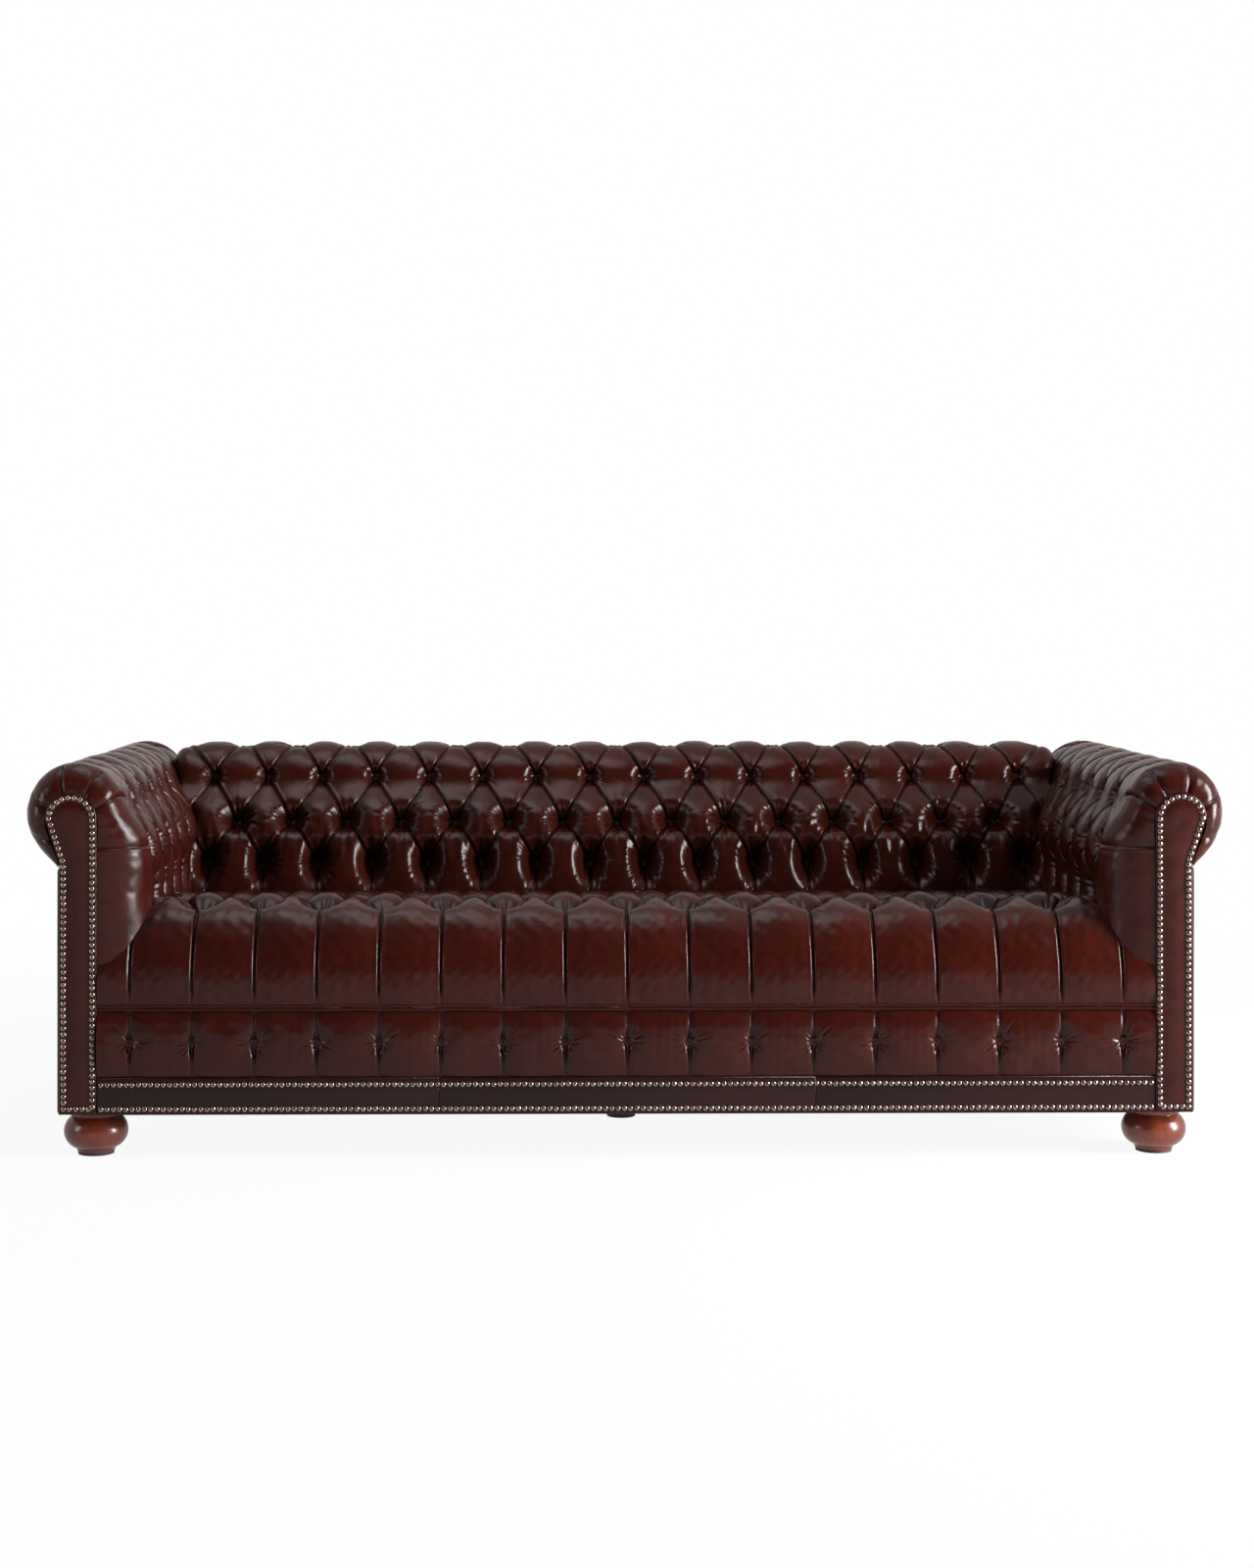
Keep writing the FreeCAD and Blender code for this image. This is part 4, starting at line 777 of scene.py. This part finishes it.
def place_back_leather():
    section = Section(roll_stops() + list(BACK_STOPS))
    ends = np.linspace(LAST_COLUMN, BACK_WIDE / HALF_PITCH, 8)[1:]
    cols = np.concatenate([-ends[::-1], lattice(-LAST_COLUMN, LAST_COLUMN, CELL), ends])
    s, t = np.meshgrid(cols, lattice(-1, 5, CELL))
    x = s * HALF_PITCH
    edge = BACK_WIDE + BACK_OVERLAP * np.interp(t, [0.3, 0.9, 1.6, 2.2], [0, 1, 1, 0])
    stretch = (edge - BACK_KEPT) / (BACK_WIDE - BACK_KEPT)
    spread = np.sign(x) * (BACK_KEPT + (np.abs(x) - BACK_KEPT) * stretch)
    x = np.where(np.abs(x) > BACK_KEPT, spread, x)
    shape = section.at(t)
    crest = np.stack([x, FRONT + BACK_ROLL_DEPTH - shape[..., 0], ROLL_Z + shape[..., 1]], -1)
    crest, s, t, x, edge = crest[::-1], s[::-1], t[::-1], x[::-1], edge[::-1]
    tufts = Tufts(section, 1, BACK_DEPTHS, BACK_BOWLS, BACK_CREASE, BACK_SEED, straight=0.8, power=0.38)
    side_gap = share((edge - np.abs(x)) / BACK_END_ROUND)
    shrink = BACK_END_ROUND * (1 - np.sqrt(1 - (1 - side_gap) ** 2)) * np.interp(t, [1.6, 2.3], [1, 0])
    hang = np.interp(t, BACK_FOLD_ROWS, (0, 1, 1, 0))
    folds = BACK_FOLD_DEPTH * hang * waves(x, section.arc(t) * 0.1, BACK_FOLD_WIDTH, BACK_SEED + 1)
    spots = tufted("back_leather", crest, s, t, tufts, -LAST_BUTTON, LAST_BUTTON,
                   ["back_cover", "back_foam"], strength=1.4, shrink=shrink,
                   seams=((folds, 0.0),), unevenness=0.5)
    place_buttons("back_button_set", spots, BUTTON_PROFILE, 6, "back_buttons")


# Seat

SEAT_FIRST_ROW = 0.135
SEAT_ROW = 0.100
SEAT_CREST = 0.492
SEAT_FIRST_FALL = 0.002
SEAT_FALL = 0.010
SEAT_REAR_FALL = 0.056
SEAT_CREASE = 0.019
SEAT_CELL = 30
SEAT_DEPTHS = (0.050, 0.034, 0.030, 0.028, 0.026)
SEAT_BOWLS = ((0.034, 0.036, 0.046),) + ((0.024, 0.024, 0.024),) * 4


def place_seat_leather():
    stops = [(-2.0, 0.0035, SEAT_LEAF, 191.0), (-1.1, 0.0145, 0.4025, 155.0),
             (-0.45, 0.080, 0.4795, 110.0), (0.0, SEAT_FIRST_ROW, SEAT_CREST, 90.0),
             (1.0, SEAT_FIRST_ROW + SEAT_ROW, SEAT_CREST - SEAT_FIRST_FALL, 86.0)]
    for j in range(2, 5):
        fall = SEAT_FIRST_FALL + (j - 1) * SEAT_FALL
        stops.append((float(j), SEAT_FIRST_ROW + j * SEAT_ROW, SEAT_CREST - fall, 84.0))
    stops.append((5.0, SEAT_REAR, SEAT_CREST - SEAT_REAR_FALL, 60.0))
    section = Section(stops)
    ends = np.linspace(LAST_COLUMN, (POST_INNER_X - FACE_GAP) / HALF_PITCH, 16)[1:]
    cols = np.concatenate([-ends[::-1], lattice(-LAST_COLUMN, LAST_COLUMN, SEAT_CELL), ends])
    s, t = np.meshgrid(cols, lattice(-2, 5, SEAT_CELL))
    shape = section.at(t)
    crest = np.stack([s * HALF_PITCH, FRONT + shape[..., 0], shape[..., 1]], -1)
    tufts = Tufts(section, 0, SEAT_DEPTHS, SEAT_BOWLS, SEAT_CREASE, SEAT_SEED,
                  straight=0.18, power=0.65, pace=1.9)
    tucked = np.interp(t, [-2, -1.7], [0.25, 1.0])
    spots = tufted("seat_leather", crest, s, t, tufts, -LAST_BUTTON, LAST_BUTTON,
                   ["seat_cover", "seat_foam", "seat_corner_left", "seat_corner_right"],
                   strength=1.4, fade=tucked, unevenness=1.4)
    place_buttons("seat_button_set", spots, BUTTON_PROFILE, 8, "seat_buttons")


# Border, band and welt

BORDER_COLUMNS, BORDER_ROWS = 1023, 64
BORDER_TUCK, BORDER_UNDER_WELT = 0.004, 0.0035
BORDER_MIDDLE = 0.225
BORDER_SWELL = 0.0152
BORDER_CREASE, BORDER_PULL, BORDER_PULL_WIDTH = 0.0062, 0.0088, 0.0175
BORDER_BUTTON_SINK = 0.0022
BORDER_WRINKLES = 14
BORDER_WRINKLE_DEPTH = 0.0016
BORDER_LEAST, BORDER_SOFT = 0.0013, 0.0005
BORDER_LAST = 8


def place_border():
    half = POST_INNER_X - FACE_GAP
    low, high = BAND_TOP - BORDER_TUCK, WELT_LOW.z + BORDER_UNDER_WELT
    middle = BORDER_MIDDLE
    x, v = np.meshgrid(np.linspace(-half, half, BORDER_COLUMNS), np.linspace(0, 1, BORDER_ROWS))
    z = low + (high - low) * v
    bow = np.sin(math.pi * v) ** 0.6
    near = np.abs(x - np.round(x / PITCH) * PITCH)
    gap = np.hypot(near, z - middle)
    crown = np.sin(math.pi * np.clip(near / PITCH, 0, 0.5)) ** 0.75
    depth = BORDER_CREASE + BORDER_PULL * np.exp(-(gap / BORDER_PULL_WIDTH) ** 1.7)
    height = BORDER_SWELL * bow - depth * (1 - crown) * (0.35 + 0.65 * bow)
    beneath = share((middle - z) / 0.008) * share((z - low) / (middle - low))
    height -= (0.0016 + 0.0050 * beneath) * bell(near, 0.0042) * bow
    height -= 0.0010 * bell(near, 0.0015) * bow
    height += 0.0006 * waves(x, z, 0.06, 91) * bow + 0.0003 * waves(x, z, 0.02, 92) * bow
    rng = np.random.default_rng(17)
    buttons = [i * PITCH for i in range(-BORDER_LAST, BORDER_LAST + 1)]
    for place in buttons:
        cols = np.nonzero(np.abs(x[0] - place) < HALF_PITCH)[0]
        window = np.ix_(range(len(x)), cols)
        dx, dz = x[window] - place, z[window] - middle
        jitter = rng.uniform(-0.4, 0.4, BORDER_WRINKLES)
        for turn in (np.arange(BORDER_WRINKLES) + jitter) * 2 * math.pi / BORDER_WRINKLES:
            reach = rng.uniform(0.012, 0.034)
            deep = BORDER_WRINKLE_DEPTH * rng.uniform(0.3, 1.2)
            height[window] += deep * wrinkle(dx, dz, turn, reach, 0.005, 0.05)
    height = BORDER_LEAST + np.logaddexp(0, (height - BORDER_LEAST) / BORDER_SOFT) * BORDER_SOFT
    grid = np.stack([x, FRONT + FACING + 0.001 - height, z], -1)
    # Painted shade along each vertical pleat and round each button's dip; painted light on the crown of
    # each pillow
    painted_shade = np.maximum(bell(near, 0.002), 0.9 * bell(gap, 0.011))
    sheet_pieces("border_leather", grid, None, painted_shade, share(crown), ["border_cover", "border_pad"])
    spots = [((place, FRONT + FACING - BORDER_BUTTON_SINK, middle), (0, -1, 0)) for place in buttons]
    place_buttons("border_button_set", spots, BORDER_PROFILE, 9, "border_buttons")


BAND_SEAM, BAND_EDGE = 0.364, 0.0022


def rounded_slab(x0, x1, low, high):
    """Points and faces of one band panel, softly rounded at the front."""
    edge = BAND_EDGE
    steps = [(0.0, high.y), (0.0, low.y + edge), (edge * 0.3, low.y + edge * 0.3), (edge, low.y)]
    points = []
    for inset, y in steps:
        for x, z in ((x0 + inset, low.z + inset), (x1 - inset, low.z + inset),
                     (x1 - inset, high.z - inset), (x0 + inset, high.z - inset)):
            points.append((x, y, z))
    last = (len(steps) - 1) * 4
    front = [(last, last + 1, last + 2), (last, last + 2, last + 3)]
    return points, ring_faces(len(steps), 4) + front


def place_band():
    low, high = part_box("base_band")
    batch = Batch()
    for x0, x1 in ((low.x, -BAND_SEAM), (-BAND_SEAM, BAND_SEAM), (BAND_SEAM, high.x)):
        batch.add(*rounded_slab(x0, x1, low, high))
    batch.make("band_leather", band_hide, "leather", "base_band")


def tube(points, radius, segments=12):
    """Tube along points that run mostly along X."""
    made = []
    for x, y, z in points:
        for k in range(segments):
            turn = 2 * math.pi * k / segments
            made.append((x, y + radius * math.cos(turn), z + radius * math.sin(turn)))
    return made, ring_faces(len(points), segments)


def place_welt():
    radius = (WELT_HIGH.z - WELT_LOW.z) / 4
    x = np.linspace(WELT_LOW.x, WELT_HIGH.x, 500)
    batch = Batch()
    for k, z in enumerate((WELT_LOW.z + radius, WELT_HIGH.z - radius)):
        y = (WELT_LOW.y + WELT_HIGH.y) / 2 + 0.0004 * waves(x, 0 * x, 0.08, 21 + k)
        lift = z + 0.0005 * waves(x, 0 * x, 0.11, 31 + k)
        batch.add(*tube(list(zip(x, y, lift)), radius))
    batch.make("welt_cords", hide, "leather", "front_welt")


# Facings, nails and panels

NECK_LOW = -ROLL_LEAF + 0.008
FACING_EDGE, FACING_ROUND = 0.005, 0.004
FACING_SWELL, SWELL_WIDTH = 0.0028, 0.02
FACING_SHADE, FACING_SHADE_WIDTH = 0.55, 0.015


def keyhole_edges(v):
    """Left and right edges of the arm front at height v, in the section's own u."""
    up = np.clip(v + HEAD_DROP, 0, HEAD_RADIUS)
    half = np.sqrt(np.maximum(HEAD_RADIUS ** 2 - up ** 2, 0))
    right = np.where(v < -HEAD_DROP, POST_INNER, half - HEAD_U)
    lean = share((v - NECK_LOW) / (-HEAD_DROP - NECK_LOW))
    left = np.where(v < -HEAD_DROP, -POST_OUTER - lean * (HEAD_RADIUS + HEAD_U - POST_OUTER),
                    -half - HEAD_U)
    return left, right


def place_facing(side, hand):
    bottom = BASE_BOTTOM - ROLL_Z
    top = HEAD_RADIUS - HEAD_DROP
    head = top - (1 - np.sin(np.linspace(0, math.pi / 2, 30))) * HEAD_RADIUS
    v = np.concatenate([[bottom, bottom + 0.0006, bottom + 0.002],
                        np.linspace(bottom + 0.005, -HEAD_DROP, 170), head[1:]])
    left, right = keyhole_edges(v)
    across = (1 - np.cos(np.linspace(0, math.pi, 33))) / 2
    u = left[:, None] + (right - left)[:, None] * across[None]
    vv = np.repeat(v[:, None], len(across), 1)
    gap = np.minimum(np.minimum(u - left[:, None], right[:, None] - u), vv - bottom)
    ring = HEAD_RADIUS - np.hypot(u + HEAD_U, vv + HEAD_DROP)
    gap = np.where(vv > -HEAD_DROP, np.maximum(ring, 0), gap)
    dip = share(1 - gap / FACING_EDGE)
    height = FACING - FACING_ROUND * (1 - np.sqrt(1 - dip ** 2))
    height = height + 0.0003 * waves(u, vv, 0.05, 61 + side)
    swell = share((gap - 2 * NAIL_MARGIN) / SWELL_WIDTH)
    height = height + FACING_SWELL * swell * (2 - swell)
    grid = np.stack([side * (ARM_ROLL_X - u), FRONT + FACING - height, ROLL_Z + vv], -1)
    grid = np.pad(grid, ((1, 1), (1, 1), (0, 0)), mode="edge")
    grid[[0, -1], :, 1] = FRONT + FACING
    grid[:, [0, -1], 1] = FRONT + FACING
    # Painted shade along the edges by the nails, and painted light, its complement, away from them
    shade = np.pad(FACING_SHADE * bell(gap, FACING_SHADE_WIDTH), 1, mode="edge")
    if side > 0:
        grid, shade = grid[:, ::-1], shade[:, ::-1]
    sheet_pieces("facing_leather_" + hand, grid, None, shade, 1 - shade, ["arm_facing_" + hand])


def even_path(points, pitch):
    """Places at an even pitch along a polyline."""
    points = np.asarray(points, float)
    steps = np.hypot(*np.diff(points, axis=0).T)
    run = np.concatenate([[0], np.cumsum(steps)])
    count = int(round(run[-1] / pitch)) + 1
    want = np.linspace(0, run[-1], count)
    return np.stack([np.interp(want, run, points[:, 0]), np.interp(want, run, points[:, 1])], -1)


NAIL_PROFILE = [(NAIL_RADIUS * 0.96, -0.0002), (NAIL_RADIUS, 0.0003), (NAIL_RADIUS * 0.93, 0.0013),
                (NAIL_RADIUS * 0.72, 0.0024), (NAIL_RADIUS * 0.4, 0.0032), (0.0, NAIL_HEIGHT)]


NAIL_LEAN, NAIL_JOG = 0.1, 0.0004
NAIL_SEGMENTS = 14


def add_nails(batch, spots, y, rng):
    for x, z in spots:
        lean = Vector((rng.uniform(-NAIL_LEAN, NAIL_LEAN), 0, rng.uniform(-NAIL_LEAN, NAIL_LEAN)))
        jog = rng.uniform(-NAIL_JOG, NAIL_JOG, 2)
        size = rng.uniform(0.96, 1.03)
        profile = [(r * size, h * size) for r, h in NAIL_PROFILE]
        place = (x + jog[0], y, z + jog[1])
        batch.add(*lathe(profile, place, Vector((0, -1, 0)) + lean, NAIL_SEGMENTS))


def facing_path():
    radius = HEAD_RADIUS - NAIL_MARGIN
    bottom = BASE_BOTTOM + 0.011 - ROLL_Z
    turn = np.linspace(0, math.pi, 40)
    head = [(radius * math.cos(a) - HEAD_U, radius * math.sin(a) - HEAD_DROP) for a in turn]
    neck = -POST_OUTER + NAIL_MARGIN
    foot = [(neck, bottom), (radius - HEAD_U, bottom)]
    return foot + head + [(neck, NECK_LOW), (neck, bottom + NAIL_PITCH)]


def place_nails():
    rng = np.random.default_rng(3)
    for side, hand in SIDES:
        spots = even_path(facing_path(), NAIL_PITCH)
        batch = Batch()
        add_nails(batch, [(side * (ARM_ROLL_X - u), ROLL_Z + v) for u, v in spots], FRONT, rng)
        batch.make("facing_nail_set_" + hand, nail_metal, "nail_brass", "facing_nails_" + hand)
    low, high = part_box("band_nails")
    batch = Batch()
    for z in (low.z + NAIL_RADIUS, high.z - NAIL_RADIUS):
        spots = even_path([(low.x + NAIL_RADIUS, z), (high.x - NAIL_RADIUS, z)], NAIL_PITCH)
        add_nails(batch, spots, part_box("base_band")[0].y, rng)
    batch.make("band_nail_set", nail_metal, "nail_brass", "band_nails")


PANEL_TUCK = 0.007
PANEL_OUT = 0.003
PANEL_EDGE, PANEL_FREE = 0.004, 0.05
# Even share of the leather's lighter tone on the plain panels and roll ends
PANEL_EVEN_LIGHT = 0.3
REAR_PANEL_RAISE = 0.025


def even_ends(first, last, count):
    """Places between two ends, closer together near both."""
    return first + (last - first) * (1 - np.cos(np.linspace(0, math.pi, count))) / 2


def panel_height(gap, uneven):
    """Panel surface over its tucked edges, gap away from them."""
    height = PANEL_TUCK * (1 - np.exp(-gap / PANEL_EDGE)) - PANEL_TUCK + PANEL_OUT
    return height + uneven * share(gap / PANEL_FREE)


def place_panels():
    for side, hand in SIDES:
        low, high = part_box("outside_arm_" + hand)
        front = low.y - FACING / 2
        y, z = np.meshgrid(np.linspace(0, 1, 160) ** 1.5 * (high.y - front) + front,
                           even_ends(low.z, high.z, 90))
        gap = np.minimum(y - front, np.minimum(z - low.z, high.z - z))
        height = panel_height(gap, 0.0012 * waves(y, z, 0.25, 41 + side))
        outer = (high.x if side > 0 else -low.x) - PANEL_OUT
        grid = np.stack([side * (outer + height), y, z], -1)
        if side < 0:
            grid = grid[:, ::-1]
        flat = np.zeros(y.shape)
        sheet_pieces("side_panel_" + hand, grid, None, flat, flat + PANEL_EVEN_LIGHT,
                     ["outside_arm_" + hand])
    low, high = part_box("outside_back")
    top = high.z + REAR_PANEL_RAISE
    x, z = np.meshgrid(even_ends(high.x, low.x, 300), even_ends(low.z, top, 90))
    gap = np.minimum(np.minimum(x - low.x, high.x - x), np.minimum(z - low.z, top - z))
    height = panel_height(gap, 0.0014 * waves(x, z, 0.3, 45))
    grid = np.stack([x, high.y - PANEL_OUT + height, z], -1)
    flat = np.zeros(x.shape)
    sheet_pieces("rear_panel", grid, None, flat, flat + PANEL_EVEN_LIGHT, ["outside_back"])


END_PLEATS = 9
END_PLEAT_DEPTH = 0.0022


def place_roll_ends():
    for hand in ("left", "right"):
        low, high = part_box("roll_end_" + hand)
        centre = (low + high) / 2
        radius = (high.x - low.x) / 2
        q, a = np.meshgrid(np.linspace(0, 1, 40), np.linspace(0, 2 * math.pi, 181))
        y = low.y + (high.y - low.y) * np.sin(q * math.pi / 2) ** 0.9
        wave = np.sin(a * END_PLEATS)
        pleat = END_PLEAT_DEPTH * (np.abs(wave) ** 0.5 - 1) * np.sin(q * math.pi)
        r = radius * np.cos(q * math.pi / 2) ** 0.55 + pleat
        grid = np.stack([centre.x + r * np.cos(a), y, centre.z + r * np.sin(a)], -1)
        # Painted shade in the pleat grooves of the roll end
        painted_shade = bell(wave, 0.12) * np.sin(q * math.pi)
        sheet_pieces("roll_end_leather_" + hand, grid[::-1], None, painted_shade, np.full_like(painted_shade, PANEL_EVEN_LIGHT),
                     ["roll_end_" + hand])


# Feet

FOOT_COLLAR, FOOT_TOE = 0.011, 0.009
BELLY_RADIUS, BELLY_TURN, BELLY_STEPS = 0.034, 1.12, 24
FOOT_SEGMENTS = 72


def foot_profile(bottom, top, wide):
    """Turned bun foot: a short toe, a round belly and a collar."""
    neck, toe = top - FOOT_COLLAR, bottom + FOOT_TOE
    belly = (toe + neck) / 2
    profile = [(0.0, bottom), (0.034, bottom), (0.0365, bottom + 0.001), (0.037, bottom + 0.003),
               (0.036, toe - 0.001)]
    for k in range(BELLY_STEPS + 1):
        a = -BELLY_TURN + (2 * BELLY_TURN - 0.02) * k / BELLY_STEPS
        profile.append((wide - BELLY_RADIUS + BELLY_RADIUS * math.cos(a),
                        belly + (neck - toe) * 0.5 * math.sin(a) / math.sin(BELLY_TURN)))
    profile += [(0.0455, neck + 0.0002), (0.0470, neck + 0.0012), (0.0505, neck + 0.0014),
                (0.0515, neck + 0.0028), (0.0515, top - 0.0016), (0.0505, top - 0.0004), (0.0, top)]
    return profile


def place_feet():
    for corner in ("front_left", "rear_left", "front_right", "rear_right"):
        low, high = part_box("bun_foot_" + corner)
        centre = (low + high) / 2
        profile = foot_profile(low.z, high.z, (high.x - low.x) / 2)
        batch = Batch()
        batch.add(*lathe(profile, (centre.x, centre.y, 0), (0, 0, 1), FOOT_SEGMENTS))
        batch.make("turned_foot_" + corner, foot_wood, "foot_wood", "bun_foot_" + corner)


# Stage

FLOOR_GREY = (0.85, 0.85, 0.85, 1)
FLOOR_NEAR, FLOOR_FAR, FLOOR_LEAST = 1.5, 3.5, 0.92
SWEEP_REACH, SWEEP_LEAST = 1.6, 0.68
WORLD_STRENGTH = 0.7
DARK_FROM, DARK_TO, PALE_FROM = 1, 55, 70


def seen_rays(tree):
    """Whether the ray is the camera's, and whether it is the camera's, a mirrored or a bent one."""
    path = add_node(tree, "ShaderNodeLightPath")
    camera = path.outputs["Is Camera Ray"]
    seen = arithmetic(tree, "MAXIMUM", camera, path.outputs["Is Glossy Ray"])
    return camera, arithmetic(tree, "MAXIMUM", seen, path.outputs["Is Transmission Ray"])


def place_stage():
    """White floor that glows, less near the object and, in reflections, less to the left."""
    bpy.ops.mesh.primitive_plane_add(size=60, location=(0, 0, 0))
    floor = bpy.context.active_object
    floor.name = "floor"
    material, tree, _ = nodes_of("floor")
    tree.nodes.clear()
    output = add_node(tree, "ShaderNodeOutputMaterial")
    plain = add_node(tree, "ShaderNodeBsdfDiffuse", {"Color": FLOOR_GREY})
    glow = add_node(tree, "ShaderNodeEmission", {"Color": (1, 1, 1, 1)})
    place = object_place(tree)
    axes = add_node(tree, "ShaderNodeSeparateXYZ")
    tree.links.new(place, axes.inputs["Vector"])
    sweep = ramp(tree, axes.outputs["X"], -SWEEP_REACH, SWEEP_REACH, SWEEP_LEAST, 1.0)
    camera, seen = seen_rays(tree)
    tree.links.new(arithmetic(tree, "MAXIMUM", camera, sweep), glow.inputs["Strength"])
    away = add_node(tree, "ShaderNodeVectorMath", operation="LENGTH")
    tree.links.new(place, away.inputs[0])
    white = ramp(tree, away.outputs["Value"], FLOOR_NEAR, FLOOR_FAR, FLOOR_LEAST, 1.0)
    blend = add_node(tree, "ShaderNodeMixShader")
    tree.links.new(arithmetic(tree, "MULTIPLY", seen, white), blend.inputs[0])
    tree.links.new(plain.outputs["BSDF"], blend.inputs[1])
    tree.links.new(glow.outputs["Emission"], blend.inputs[2])
    tree.links.new(blend.outputs["Shader"], output.inputs["Surface"])
    floor.data.materials.append(material)


def place_world():
    """White backdrop behind, below and overhead, with a dark stretch above eye level in front."""
    world = bpy.data.worlds.new("studio")
    bpy.context.scene.world = world
    world.use_nodes = True
    tree = world.node_tree
    back = tree.nodes["Background"]
    camera, seen = seen_rays(tree)
    tree.links.new(ramp(tree, seen, 0.0, 1.0, WORLD_STRENGTH, 1.0), back.inputs["Strength"])
    coords = add_node(tree, "ShaderNodeTexCoord")
    axes = add_node(tree, "ShaderNodeSeparateXYZ")
    tree.links.new(coords.outputs["Generated"], axes.inputs["Vector"])
    forward = arithmetic(tree, "MULTIPLY", axes.outputs["Y"], -1.0)
    lift = arithmetic(tree, "ARCTAN2", axes.outputs["Z"], forward)
    above = ramp(tree, lift, math.radians(DARK_FROM), math.radians(DARK_FROM + 4))
    below = ramp(tree, lift, math.radians(DARK_TO), math.radians(84), 1.0, 0.0)
    unseen = arithmetic(tree, "SUBTRACT", 1.0, camera)
    gap = arithmetic(tree, "MULTIPLY", arithmetic(tree, "MULTIPLY", above, below), unseen)
    high = ramp(tree, lift, math.radians(DARK_TO), math.radians(PALE_FROM))
    high = arithmetic(tree, "MULTIPLY", high, unseen)
    pale = mix(tree, high, (1.0, 1.0, 1.0), (0.70, 0.66, 0.65))
    tree.links.new(mix(tree, gap, pale, (0.04, 0.036, 0.037)), back.inputs["Color"])


# Lights: name, place, width, height and power
LIT_POINT = (0, 0, 0.4)
LIGHTS = (("side_key", (4.2, -1.6, 1.55), 0.75, 2.7, 430),
          ("side_fill", (-4.2, -1.9, 1.5), 0.7, 1.6, 35),
          ("overhead", (-0.4, -0.4, 3.6), 2.6, 1.2, 24))


def place_lights():
    for name, place, width, height, power in LIGHTS:
        light = bpy.data.lights.new(name, "AREA")
        light.shape = "RECTANGLE"
        light.size, light.size_y = width, height
        light.energy = power
        holder = bpy.data.objects.new(name, light)
        bpy.context.scene.collection.objects.link(holder)
        holder.location = place
        holder.rotation_euler = (Vector(LIT_POINT) - Vector(place)).to_track_quat("-Z", "Y").to_euler()


# The photo's camera, level and in front of the arm facings
CAMERA_X, CAMERA_AWAY, CAMERA_HEIGHT = -0.155, 4.727, 1.049
CAMERA_TURN = -0.73
LENS = 56.3
SHIFT = (0.031, -0.1075)


def place_camera():
    camera = bpy.data.cameras.new("camera")
    camera.sensor_width = 36.0
    camera.lens = LENS
    camera.shift_x, camera.shift_y = SHIFT
    holder = bpy.data.objects.new("camera", camera)
    bpy.context.scene.collection.objects.link(holder)
    holder.location = (CAMERA_X, FRONT - CAMERA_AWAY, CAMERA_HEIGHT)
    holder.rotation_euler = (math.radians(90), 0, math.radians(CAMERA_TURN))
    bpy.context.scene.camera = holder


bpy.context.scene.view_settings.view_transform = "Standard"
finish_cad_nodes()
for arm_side, arm_hand in SIDES:
    place_arm_leather(arm_side, arm_hand)
    place_facing(arm_side, arm_hand)
place_back_leather()
place_seat_leather()
place_border()
place_band()
place_welt()
place_nails()
place_panels()
place_roll_ends()
place_feet()
place_stage()
place_world()
place_lights()
place_camera()
